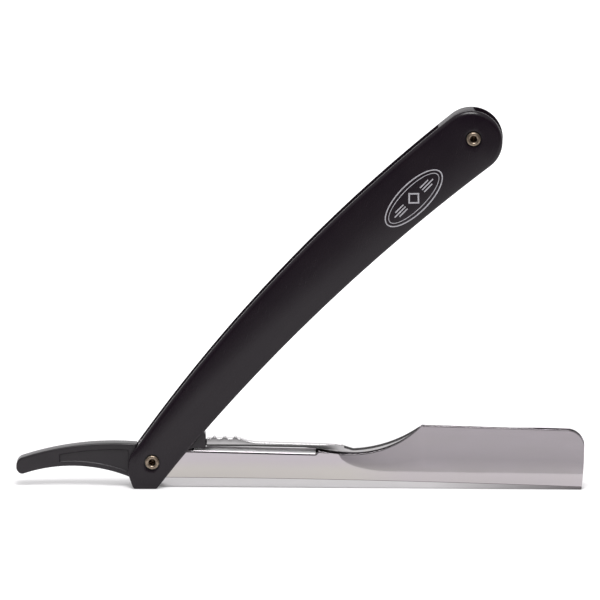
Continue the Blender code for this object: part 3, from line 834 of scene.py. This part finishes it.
def half_profile(x, top, inward):
    """One wall from its rounded top edge to the flat spine, outside or moved inward by the sheet."""
    wide = tapered(TANG_HALF_WIDTH, NOSE_HALF_WIDTH, x) - inward
    crease = crease_height(x) * (0.8 if inward else 1.0)
    base = GROUND + inward
    edge = SHEET_LIP if inward else lip_radius(x)
    into = -1.0 if inward else 1.0
    lip_lean = 0.0 if inward else SLOT_LEAN * (1 - smooth_step((x - SLOT_END) / 1.5))
    share = INNER_LEAN if inward else 1.0
    points = []
    for turn in (90.0, 72.0, 54.0, 36.0, 18.0):
        across = edge * (1 - math.cos(math.radians(turn)))
        height = top - edge * (1 - math.sin(math.radians(turn)))
        points.append((wide - share * wall_lean(x, top) - lip_lean - into * across, height))
    points.append((wide - share * wall_lean(x, top) - lip_lean, top - edge))
    for z in wall_heights(x, top - edge - LEAN_HEIGHT, base + crease + 0.3):
        points.append((wide - share * wall_lean(x, z), z))
    groove = 0.0 if inward else CREASE_DEPTH
    half = CREASE_WIDTH / 2
    for above, sunk in ((half + 0.04, 0.0), (half, 0.0), (0.0, groove), (-half, 0.0), (-half - 0.04, 0.0)):
        points.append((wide - sunk, base + crease + above))
    flare = 0.0 if inward else tapered(0.0, FOOT_FLARE, x)
    for y, z in fold_curve(crease - half - 0.04):
        points.append((wide - y + flare * (1 - z / crease), base + z))
    return points


def nose_cut(x, z):
    """How far the nose's end edge is cut back, more and more towards the spine."""
    reach = max(x - NOSE_CENTRE[0], 0.0) / NOSE_RADIUS
    below = max(NOSE_CENTRE[1] - z, 0.0) / (NOSE_CENTRE[1] - GROUND)
    return NOSE_CUT * reach * below ** 2


def rear_rise(x):
    """How much higher the rear wall's edge stands than the front one's over the end of the head."""
    return REAR_RISE * smooth_step((x - REAR_RISE_FROM) / REAR_RISE_LENGTH)


def shell_section(shape, x, inward):
    front = half_profile(x, top_height(x, FRONT_TOP), inward)
    rear = reversed(half_profile(x, top_height(x, REAR_TOP) + rear_rise(x), inward))
    verts = [shape.verts.new((x - nose_cut(x, z), -y, z)) for y, z in front]
    return verts + [shape.verts.new((x - nose_cut(x, z), y, z)) for y, z in rear]


def web_shape():
    """Matt sheet that closes the channel level with the front wall's top and turns up at the rear wall."""
    sections = []
    for x in spaced(WEB_START, SLOT_END + 0.1, 6):
        level = wall_top(FRONT_TOP, x) - WEB_DROP
        lip = max(wall_top(REAR_TOP, x) - WEB_LIP_DROP, level + WEB_LIP_LEAST)
        face = tapered(TANG_HALF_WIDTH, NOSE_HALF_WIDTH, x) - SHEET - WEB_LIP_DEPTH
        corners = [(-WEB_HALF, level - WEB_DEPTH), (WEB_HALF, level - WEB_DEPTH), (WEB_HALF, lip)]
        corners += [(face, lip), (face, level), (-WEB_HALF, level)]
        sections.append([(x, y, z) for y, z in corners])
    return loft(sections)


def shell_shape():
    """The folded sheet as one closed loft, then its two holes."""
    shape = bmesh.new()
    sections = [shell_section(shape, x, 0.0) + shell_section(shape, x, SHEET)[::-1] for x in shell_stations()]
    for one, two in zip(sections, sections[1:]):
        bridge(shape, one, two)
    for ring in (sections[0], sections[-1]):
        count = len(ring)
        for index in range(count // 2 - 1):
            quad = (ring[index], ring[index + 1], ring[count - 2 - index], ring[count - 1 - index])
            shape.faces.new(quad)
    bmesh.ops.recalc_face_normals(shape, faces=shape.faces)
    pivot_hole = rod(RIVET_HOLE, -CUT_REACH, CUT_REACH)
    pin_hole = rod(TANG_PIN_HOLE, -CUT_REACH, CUT_REACH, TANG_PIN)
    return combined(shape, ("DIFFERENCE", pivot_hole), ("DIFFERENCE", pin_hole))


# Tang and tail ---------------------------------------------

def tail_outline():
    top = [(x, crown_height(TAIL_TOP, x), 0) for x in spaced(TAIL_END, TAIL_TOP[0][0], 40)]
    under = [(x, crown_height(TAIL_UNDER, x), 0) for x in spaced(TAIL_UNDER[0][0], TAIL_END, 40)]
    tip = [(-37.7, 0.2, 2.4), (-37.75, -2.7, 1.5), (-36.7, -4.3, 1.4)]
    return filleted(top + tip + under)


def panel_outline():
    """Sunk panel on each side, parallel to the tail's top and underside."""
    stations = spaced(-25.8, -6.5, 24)
    under = [(x, crown_height(TAIL_UNDER, x) + 1.1, 0) for x in stations[1:-1]]
    top = [(x, crown_height(TAIL_TOP, x) - 1.7, 0) for x in reversed(stations[1:-1])]
    left = stations[0]
    right = stations[-1]
    corners = [(left, crown_height(TAIL_UNDER, left) + 1.1, 0.5), *under]
    corners += [(right, crown_height(TAIL_UNDER, right) + 1.1, 0.5)]
    corners += [(right, crown_height(TAIL_TOP, right) - 1.7, 0.5), *top]
    corners += [(left, crown_height(TAIL_TOP, left) - 1.7, 0.5)]
    return filleted(corners)


def panel_cutter(side):
    """Cutter for a sunk panel whose walls slope a little, with a softened rim."""
    floor = TAIL_HALF - PANEL_DEPTH
    levels = [(floor, 0.3), (floor + 0.04, 0.24), (TAIL_HALF - 0.04, 0.0), (TAIL_HALF, -0.03)]
    levels += [(TAIL_HALF + 0.5, -0.4)]
    return layered(panel_outline(), [(side * y, inwards) for y, inwards in levels])


def tang_shape():
    tail = plate(tail_outline(), -TAIL_HALF, TAIL_HALF, 0.5, 0.5)
    insert_outline = [(-6.0, -4.2), (9.0, -4.2), (11.0, -2.2), (11.0, 4.6)]
    insert_outline += [(4.2, 4.6), (4.2, 2.6), (-6.0, 2.6)]
    stop_corners = [(x, wall_top(REAR_TOP, x) + STOP_CLEARANCE, 0.4) for x in (3.2, STOP_END)]
    stop_corners += [(STOP_END, 7.2, 0.8), (14.2, 8.9, 0.6), (12.0, 9.2, 0.8), (3.2, 6.4, 1.5)]
    stop = plate(filleted(stop_corners), -STOP_HALF, STOP_HALF, 0.3, 0.3)
    cheek_corners = [(13.6, 3.45, 0), (15.9, 3.45, 0.2), (15.9, 5.4, 0.4), (13.6, 5.4, 0)]
    cheek = plate(filleted(cheek_corners), CHEEK_INNER, STOP_HALF - 0.05, 0.08, 0.08)
    return combined(
        tail,
        ("UNION", plate(insert_outline, -INSERT_HALF, INSERT_HALF, 0.1, 0.1)),
        ("UNION", stop),
        ("UNION", cheek),
        ("DIFFERENCE", panel_cutter(-1)),
        ("DIFFERENCE", panel_cutter(1)),
        ("DIFFERENCE", rod(RIVET_HOLE, -CUT_REACH, CUT_REACH)),
        ("DIFFERENCE", rod(TANG_PIN_HOLE, -CUT_REACH, CUT_REACH, TANG_PIN)),
    )


# Clamp leaf ------------------------------------------------

def from_hinge(points):
    return [(p[0] - HINGE[0], p[1] - HINGE[1], *p[2:]) for p in points]


def leaf_outline():
    shoulder, radius = circle_through(*LEAF_SHOULDER)
    stations = spaced(LEAF_SHOULDER[0][0], LEAF_SHOULDER[-1][0], 28)
    curve = [(x, shoulder[1] - math.sqrt(radius ** 2 - (x - shoulder[0]) ** 2), 0) for x in stations]
    corners = [(42.0, 4.2, 0), (LEVER_END, 4.2, 0), *curve]
    corners += [(75.2, 9.45, 0), (117.6, 8.45, 4.0), (117.6, -5.2, 0)]
    corners += [(117.0, -6.0, 0), (62.0, -6.0, 3.0), (51.0, -0.5, 4.0), (46.5, 2.9, 0)]
    return filleted(corners)


def through(places, x):
    """Height at x along straight lines between (x, z) places."""
    for one, two in zip(places, places[1:]):
        if x <= two[0]:
            return one[1] + (two[1] - one[1]) * (x - one[0]) / (two[0] - one[0])
    return places[-1][1]


def lever_top(x):
    """Top of the lever: three cross ribs for the thumb, then a thin strip."""
    if x <= RIBS_END:
        wave = math.cos(2 * math.pi * (x - RIB_FIRST) / RIB_PITCH)
        return RIB_FOOT + RIB_HEIGHT * max(wave, 0.0)
    return through(LEVER_BACK, x)


def lever_foot(x):
    return through(LEVER_BOTTOM, x)


def lever_shape():
    """The lever strip as a loft: upright sides over a slightly flared foot, narrowing into the leaf."""
    stations = spaced(LEVER_START, RIBS_END, 72) + spaced(RIBS_END, 29.0, 10)[1:]
    stations += spaced(29.0, LEVER_END, 30)[1:]
    sections = []
    for x in stations:
        top = lever_top(x)
        foot = lever_foot(x)
        narrowing = smooth_step((x - LEVER_NARROWS_FROM) / (LEVER_END + 1.0 - LEVER_NARROWS_FROM))
        wide = LEVER_HALF - (LEVER_HALF - LEAF_HALF - 0.05) * narrowing
        round_edge = min(LEVER_ROUND, 0.5 * wide)
        above_flare = top - foot - FLARE_HEIGHT - 0.35
        upper = foot + FLARE_HEIGHT + above_flare * smooth_step((x - FLARE_FADES_FROM) / 6.0)
        side = wide - LEVER_FLARE * (upper - foot) * wide / LEVER_HALF
        edge = side - FACE_LEAN * max(top - round_edge - upper, 0.0)
        half = [(wide - 0.03, foot), (wide, foot + 0.03), (side, upper)]
        half.append((side - 0.04 * FACE_LEAN, upper + 0.04))
        for turn in spaced(0.0, math.pi / 2, 5):
            across = edge - round_edge * (1 - math.cos(turn))
            half.append((across, top - round_edge * (1 - math.sin(turn))))
        half.append((edge - round_edge - 0.02, top))
        ring = [(-y, z) for y, z in half] + [(y, z) for y, z in reversed(half)]
        sections.append([(x - HINGE[0], y, z - HINGE[1]) for y, z in ring])
    return loft(sections)


def leaf_plate():
    """The flat leaf, whose faces turn back a little along the edge that shows above the walls."""
    half = [(0.0, 0.72), (0.004, 0.66), (0.1, 0.1), (0.13, 0.03), (0.19, 0.0)]
    levels = [(depth - LEAF_HALF, inwards) for depth, inwards in half]
    levels += [(LEAF_HALF - depth, inwards) for depth, inwards in reversed(half)]
    return layered(from_hinge(leaf_outline()), levels)


def leaf_shape():
    steps = [("UNION", lever_shape()), ("UNION", rod(EYE_RADIUS, -1.0, 1.0, bevel=0.08))]
    for place in from_hinge([(x, NUB_HEIGHT) for x in LEAF_NUBS]):
        steps.append(("UNION", rod(1.0, -0.4, 0.4, place, bevel=0.12)))
    steps.append(("DIFFERENCE", rod(EYE_BORE, -CUT_REACH, CUT_REACH)))
    return combined(leaf_plate(), *steps)


# Materials -------------------------------------------------

# Each pair is a finish's main tone and the tone it varies to
HANDLE_TONES = ((0.0068, 0.0035, 0.0068), (0.0105, 0.0068, 0.0098))
TANG_TONES = ((0.0125, 0.0095, 0.0125), (0.019, 0.016, 0.0185))
ARM_TONES = ((0.442, 0.408, 0.432), (0.47, 0.446, 0.424))
LEAF_TONES = ((0.47, 0.46, 0.465), (0.42, 0.41, 0.415))
# The foot's pair is a painted reflection, not a tone of the steel: bright like the lit floor near the tang,
# dark like the shadowed floor under the nose
FOOT_REFLECTION_TONES = ((0.54, 0.53, 0.535), (0.12, 0.11, 0.115))

# Heights over the ground between which the arm's tone turns from warm to cool
WARM_HEIGHTS = (5.2, 8.2)

# Changes along the arm: from, to, and the results at both
WARM_FADE = (12.0, 30.0, 1.0, 0.3)
# Along the arm the foot's painted reflection turns from bright to dark towards the nose; the edge is how far
# under the crease it takes full hold
FOOT_REFLECTION_FADE = (36.0, 78.0, 0.0, 1.0)
FOOT_EDGE = 0.15


def node(tree, kind, inputs=None, **settings):
    """Adds a shader node; an input is a value, or a socket to link from."""
    made = tree.nodes.new(kind)
    for name, value in settings.items():
        setattr(made, name, value)
    for name, value in (inputs or {}).items():
        if isinstance(value, bpy.types.NodeSocket):
            tree.links.new(value, made.inputs[name])
        else:
            made.inputs[name].default_value = value
    return made


def new_finish(name):
    made = bpy.data.materials.new(name)
    made.use_nodes = True
    tree = made.node_tree
    return made, tree, tree.nodes["Principled BSDF"]


def in_millimetres(tree, turn=0.0, stretch=(1.0, 1.0, 1.0)):
    """Texture places in millimetres, turned with the piece and divided by a stretch along each axis."""
    place = node(tree, "ShaderNodeTexCoord")
    turned_place = node(tree, "ShaderNodeMapping", {
        "Vector": place.outputs["Object"],
        "Rotation": (0.0, turn, 0.0),
    }, vector_type="POINT")
    return node(tree, "ShaderNodeMapping", {
        "Vector": turned_place.outputs["Vector"],
        "Scale": [1.0 / MM / value for value in stretch],
    }).outputs["Vector"]


def noise(tree, where, size, detail=3.0, roughness=0.5):
    made = node(tree, "ShaderNodeTexNoise", {
        "Vector": where, "Scale": 1.0 / size, "Detail": detail, "Roughness": roughness,
    })
    return made.outputs["Fac"]


def remapped(tree, value, low_in, high_in, low_out, high_out, curve="LINEAR"):
    return node(tree, "ShaderNodeMapRange", {
        "Value": value, "From Min": low_in, "From Max": high_in, "To Min": low_out, "To Max": high_out,
    }, interpolation_type=curve).outputs["Result"]


def eased(tree, value, limits):
    """A soft change over limits: from, to, and the results at both."""
    return remapped(tree, value, *limits, "SMOOTHSTEP")


def calculated(tree, operation, one, two):
    return node(tree, "ShaderNodeMath", {0: one, 1: two}, operation=operation).outputs["Value"]


def added(tree, one, two):
    return calculated(tree, "ADD", one, two)


def mixed(tree, share, one, two):
    return node(tree, "ShaderNodeMix", {"Factor": share, 2: one, 3: two}, data_type="FLOAT").outputs[0]


def two_tones(tree, share, one, two):
    """Mixes two colours, each three numbers or a socket to link from."""
    one, two = [(*tone, 1.0) if isinstance(tone, tuple) else tone for tone in (one, two)]
    return node(tree, "ShaderNodeMix", {"Factor": share, 6: one, 7: two}, data_type="RGBA").outputs[2]


def dressed(tree, shader, colour, gloss, height, strength, depth, metallic=0.0):
    """Links a finish's colour, roughness and bump, whose depth is in millimetres."""
    tree.links.new(colour, shader.inputs["Base Color"])
    tree.links.new(gloss, shader.inputs["Roughness"])
    shader.inputs["Metallic"].default_value = metallic
    bump = node(tree, "ShaderNodeBump", {"Height": height, "Strength": strength, "Distance": depth * MM})
    tree.links.new(bump.outputs["Normal"], shader.inputs["Normal"])


def moulded_plastic(name, tone, worn_tone, roughness, shine, turn, texture_size):
    """Black moulded plastic: fine pitting, faint flow streaks along the piece, and thin scuffs."""
    made, tree, shader = new_finish(name)
    where = in_millimetres(tree, turn)
    streaks = noise(tree, in_millimetres(tree, turn, (14.0, 1.0, 1.0)), 1.2, 4.0)
    scuffs = noise(tree, in_millimetres(tree, turn + 0.5, (9.0, 1.0, 0.35)), 0.8, 5.0, 0.65)
    cloud = noise(tree, where, 11.0, 3.0)
    wear = added(tree, cloud, remapped(tree, scuffs, 0.6, 0.75, 0.0, 0.5))
    colour = two_tones(tree, remapped(tree, wear, 0.35, 0.95, 0.0, 1.0), tone, worn_tone)
    gloss = added(
        tree,
        remapped(tree, streaks, 0.3, 0.7, roughness - 0.03, roughness + 0.04),
        remapped(tree, scuffs, 0.58, 0.72, 0.0, 0.12),
    )
    grain = noise(tree, where, texture_size, 2.0)
    height = added(tree, grain, remapped(tree, streaks, 0.0, 1.0, 0.0, 1.5))
    dressed(tree, shader, colour, gloss, height, 0.08, 0.003)
    shader.inputs["Specular IOR Level"].default_value = shine
    return made


def polished_sheet(name, tone, stained_tone, roughness, heights=None):
    """Polished stainless sheet: fine rolled lines, soft smears and hairlines, and a painted reflection along
    the foot under the crease.
    """
    made, tree, shader = new_finish(name)
    where = in_millimetres(tree)
    lines = noise(tree, in_millimetres(tree, 0.0, (30.0, 1.0, 0.6)), 0.12, 3.0, 0.6)
    hairlines = noise(tree, in_millimetres(tree, 0.35, (40.0, 1.0, 0.5)), 0.5, 4.0, 0.7)
    smears = noise(tree, in_millimetres(tree, 0.0, (3.0, 1.0, 1.0)), 5.0, 4.0, 0.55)
    share = remapped(tree, smears, 0.3, 0.75, 0.0, 1.0)
    if heights:
        parts = node(tree, "ShaderNodeSeparateXYZ", {"Vector": where})
        lower = remapped(tree, parts.outputs["Z"], heights[0], heights[1], 1.0, 0.0)
        near_tang = remapped(tree, parts.outputs["X"], *WARM_FADE)
        lower = calculated(tree, "MULTIPLY", lower, near_tang)
        share = added(tree, remapped(tree, share, 0.0, 1.0, -0.15, 0.15), lower)
    colour = two_tones(tree, share, tone, stained_tone)
    if heights:
        # Painted reflection on the foot under the crease: bright near the tang, darkening towards the nose
        # where the floor under the arm lies in shadow
        along = remapped(tree, parts.outputs["X"], TAPER_START + PIVOT.x, NOSE_END + PIVOT.x, 0.0, 1.0)
        bent = calculated(tree, "POWER", along, CREASE_BEND)
        crease = remapped(tree, bent, 0.0, 1.0, CREASE_AT_TANG, CREASE_AT_NOSE)
        below_crease = calculated(tree, "SUBTRACT", crease, parts.outputs["Z"])
        foot = remapped(tree, below_crease, 0.0, FOOT_EDGE, 0.0, 1.0)
        painted_foot_reflection = two_tones(tree, remapped(tree, parts.outputs["X"], *FOOT_REFLECTION_FADE), *FOOT_REFLECTION_TONES)
        colour = two_tones(tree, foot, colour, painted_foot_reflection)
    scratches = added(tree, lines, remapped(tree, hairlines, 0.62, 0.75, 0.0, 0.5))
    gloss = added(
        tree,
        remapped(tree, smears, 0.3, 0.8, roughness - 0.02, roughness + 0.05),
        remapped(tree, scratches, 0.4, 1.0, 0.0, 0.07),
    )
    height = added(tree, lines, remapped(tree, noise(tree, where, 6.0), 0.0, 1.0, 0.0, 2.0))
    dressed(tree, shader, colour, gloss, height, 0.1, 0.002, metallic=1.0)
    return made


def matt_sheet(name):
    """Pale blasted sheet with a fine even grain."""
    made, tree, shader = new_finish(name)
    grain = noise(tree, in_millimetres(tree), 0.15, 3.0)
    colour = two_tones(tree, grain, (0.86, 0.85, 0.86), (0.74, 0.73, 0.74))
    dressed(tree, shader, colour, remapped(tree, grain, 0.3, 0.7, 0.5, 0.6), grain, 0.2, 0.004, metallic=0.3)
    return made


def dull_brass(name):
    """Rolled brass with a brown tarnish that gathers in patches."""
    made, tree, shader = new_finish(name)
    where = in_millimetres(tree)
    patches = noise(tree, where, 0.7, 4.0, 0.6)
    tarnish = remapped(tree, patches, 0.35, 0.7, 0.0, 1.0)
    colour = two_tones(tree, tarnish, (0.3, 0.245, 0.19), (0.15, 0.115, 0.085))
    gloss = remapped(tree, patches, 0.3, 0.7, 0.24, 0.42)
    dressed(tree, shader, colour, gloss, noise(tree, where, 0.12, 3.0), 0.3, 0.008, metallic=1.0)
    return made


def plain_pin(name):
    """Drawn steel wire with faint turned lines."""
    made, tree, shader = new_finish(name)
    lines = noise(tree, in_millimetres(tree, 0.0, (1.0, 0.2, 1.0)), 0.3, 3.0)
    colour = two_tones(tree, lines, (0.62, 0.61, 0.6), (0.5, 0.49, 0.48))
    dressed(tree, shader, colour, remapped(tree, lines, 0.3, 0.7, 0.2, 0.34), lines, 0.2, 0.004, metallic=1.0)
    return made


def printed_ink(name):
    """Thin white pad print, a little worn and uneven."""
    made, tree, shader = new_finish(name)
    wear = noise(tree, in_millimetres(tree), 0.5, 4.0, 0.7)
    thin = remapped(tree, wear, 0.35, 0.8, 0.0, 1.0)
    colour = two_tones(tree, thin, (0.46, 0.45, 0.48), (0.24, 0.23, 0.25))
    dressed(tree, shader, colour, remapped(tree, wear, 0.3, 0.7, 0.4, 0.6), wear, 0.2, 0.004)
    return made


# Stage -----------------------------------------------------

FLOOR_SIZE = 4.0
FLOOR_FRONT = -0.34
FLOOR_DROP = 0.00002
TARGET = (-0.00007, 0.0, 0.0529)
FRAME_WIDTH = 0.1656
CAMERA_TURN = math.radians(1.5)
CAMERA_ELEVATION = math.radians(12.5)
LENS = 800.0
SENSOR_WIDTH = 36.0
LAMP_TARGET = (0.0, 0.0, 0.03)

# Soft changes over the floor's depth and over the world's directions: from, to, and the results at both
FLOOR_FADE = (-0.3, -0.14, 0.43, 1.0)
FLOOR_GLOW = (0.02, 0.16, 0.28, 0.75)
FRONT_GLOW = (-0.22, -0.1, 0.7, 0.0)
WORLD_BACK = (-0.5, 0.3, 0.0, 1.0)
WORLD_ABOVE = (0.25, 0.6, 0.0, 1.0)
WORLD_BELOW = (-0.02, 0.03, 0.32, 0.1)
BACKDROP = (0.3, 0.42, 1.3, 0.7)


def make_floor():
    """A pale floor, partly lit by the lamps and partly glowing, whose front looks dim in reflections."""
    bpy.ops.mesh.primitive_plane_add(size=1.0)
    floor = bpy.context.object
    floor.name = "floor"
    floor.scale = (FLOOR_SIZE, FLOOR_SIZE, 1.0)
    floor.location = (0.0, FLOOR_FRONT + FLOOR_SIZE / 2, -FLOOR_DROP)
    made, tree, shader = new_finish("floor_white")
    place = node(tree, "ShaderNodeNewGeometry")
    depth = node(tree, "ShaderNodeSeparateXYZ", {"Vector": place.outputs["Position"]}).outputs["Y"]
    is_camera = node(tree, "ShaderNodeLightPath").outputs["Is Camera Ray"]
    shown = calculated(tree, "MAXIMUM", eased(tree, depth, FLOOR_FADE), is_camera)
    colour = two_tones(tree, shown, (0.0, 0.0, 0.0), (0.8, 0.795, 0.8))
    tree.links.new(colour, shader.inputs["Base Color"])
    tree.links.new(colour, shader.inputs["Emission Color"])
    shader.inputs["Roughness"].default_value = 0.9
    shader.inputs["Specular IOR Level"].default_value = 0.0
    front_glow = calculated(tree, "MULTIPLY", eased(tree, depth, FRONT_GLOW), is_camera)
    glow = calculated(tree, "MAXIMUM", eased(tree, depth, FLOOR_GLOW), front_glow)
    tree.links.new(glow, shader.inputs["Emission Strength"])
    floor.data.materials.append(made)


def put_in_scene(name, data, place, aim):
    """Places a lamp or a camera so that it looks along aim."""
    made = bpy.data.objects.new(name, data)
    made.location = place
    made.rotation_mode = "QUATERNION"
    made.rotation_quaternion = aim.to_track_quat("-Z", "Y")
    bpy.context.scene.collection.objects.link(made)
    return made


def make_lights():
    """One large soft box above and a little in front, and a smaller one behind."""
    for name, place, size, power in (
        ("overhead_box", (0.0, -0.34, 0.68), 0.32, 4.0),
        ("rear_box", (-0.2, 0.7, 0.6), 0.5, 0.6),
    ):
        data = bpy.data.lights.new(name, "AREA")
        data.shape = "SQUARE"
        data.size = size
        data.energy = power
        put_in_scene(name, data, place, Vector(LAMP_TARGET) - Vector(place))


def make_world():
    """White where the camera sees it; for the rest a bright back and top with a dark opening in front."""
    world = bpy.data.worlds.new("studio")
    world.use_nodes = True
    tree = world.node_tree
    tree.nodes.clear()
    direction = node(tree, "ShaderNodeTexCoord").outputs["Generated"]
    parts = node(tree, "ShaderNodeSeparateXYZ", {"Vector": direction})
    height = parts.outputs["Z"]
    back = eased(tree, parts.outputs["Y"], WORLD_BACK)
    bright = calculated(tree, "MAXIMUM", back, eased(tree, height, WORLD_ABOVE))
    below = eased(tree, height, WORLD_BELOW)
    backdrop = eased(tree, height, BACKDROP)
    level = mixed(tree, bright, below, backdrop)
    is_camera = node(tree, "ShaderNodeLightPath").outputs["Is Camera Ray"]
    shown = mixed(tree, is_camera, level, 1.0)
    background = node(tree, "ShaderNodeBackground", {"Color": (1.0, 0.99, 1.0, 1.0), "Strength": shown})
    output = node(tree, "ShaderNodeOutputWorld")
    tree.links.new(background.outputs["Background"], output.inputs["Surface"])
    bpy.context.scene.world = world


def make_camera():
    data = bpy.data.cameras.new("camera")
    data.lens = LENS
    data.sensor_width = SENSOR_WIDTH
    distance = FRAME_WIDTH * LENS / SENSOR_WIDTH
    level = math.cos(CAMERA_ELEVATION)
    back = Vector((
        math.sin(CAMERA_TURN) * level,
        -math.cos(CAMERA_TURN) * level,
        math.sin(CAMERA_ELEVATION),
    ))
    data.clip_start = 0.01
    data.clip_end = 20.0
    bpy.context.scene.camera = put_in_scene("camera", data, Vector(TARGET) + back * distance, -back)


# The razor -------------------------------------------------

def make_handle(black, dull_black, brass, ink):
    for name, side in (("front_scale", -1), ("rear_scale", 1)):
        finish_piece(f"{name}_moulding", scale_shape(side), "handle", black, name)
    finish_piece("end_spacer_block", spacer_shape(), "handle", dull_black, "end_spacer")
    for end, along in (("pivot", 0.0), ("end", RIVET_SPAN)):
        finish_piece(f"{end}_hollow_rivet", rivet_shape(along), "handle", brass, f"{end}_rivet")
        finish_piece(f"{end}_flat_washer", washer_shape(along), "handle", brass, f"{end}_washer")
    finish_piece("handle_mark", mark_shape(), "handle", ink)


def make_arm(steel, web_steel, black, pin_steel):
    finish_piece("arm_folded_sheet", shell_shape(), "arm", steel, "arm_shell")
    finish_piece("arm_channel_web", web_shape(), "arm", web_steel)
    finish_piece("tang_and_tail", tang_shape(), "arm", black, "tang_tail")
    pin = rod(TANG_PIN_RADIUS, -STOP_HALF, STOP_HALF, TANG_PIN, bevel=0.12)
    finish_piece("tang_cross_pin", pin, "arm", pin_steel, "tang_pin")
    pin = rod(HINGE_PIN_RADIUS, -HINGE_PIN_HALF, HINGE_PIN_HALF, HINGE, bevel=0.12)
    finish_piece("leaf_hinge_pin", pin, "arm", pin_steel, "hinge_pin")


def make_clamp(steel):
    finish_piece("clamp_leaf_plate", leaf_shape(), "clamp", steel, "clamp_leaf")


def main():
    for item in list(bpy.data.objects):
        if item.type in ("LIGHT", "CAMERA"):
            bpy.data.objects.remove(item, do_unlink=True)
    black = moulded_plastic("handle_plastic", *HANDLE_TONES, 0.2, 0.3, OPENING, 0.18)
    tang_black = moulded_plastic("tang_plastic", *TANG_TONES, 0.32, 0.35, 0.0, 0.14)
    spacer_black = moulded_plastic("spacer_plastic", *TANG_TONES, 0.42, 0.3, OPENING, 0.2)
    make_handle(black, spacer_black, dull_brass("rivet_brass"), printed_ink("white_ink"))
    arm_steel = polished_sheet("arm_sheet_steel", *ARM_TONES, 0.12, WARM_HEIGHTS)
    leaf_steel = polished_sheet("leaf_sheet_steel", *LEAF_TONES, 0.16)
    make_arm(arm_steel, matt_sheet("web_sheet_steel"), tang_black, plain_pin("pin_wire_steel"))
    make_clamp(leaf_steel)
    make_floor()
    make_lights()
    make_world()
    make_camera()
    bpy.context.scene.view_settings.view_transform = "Standard"


main()
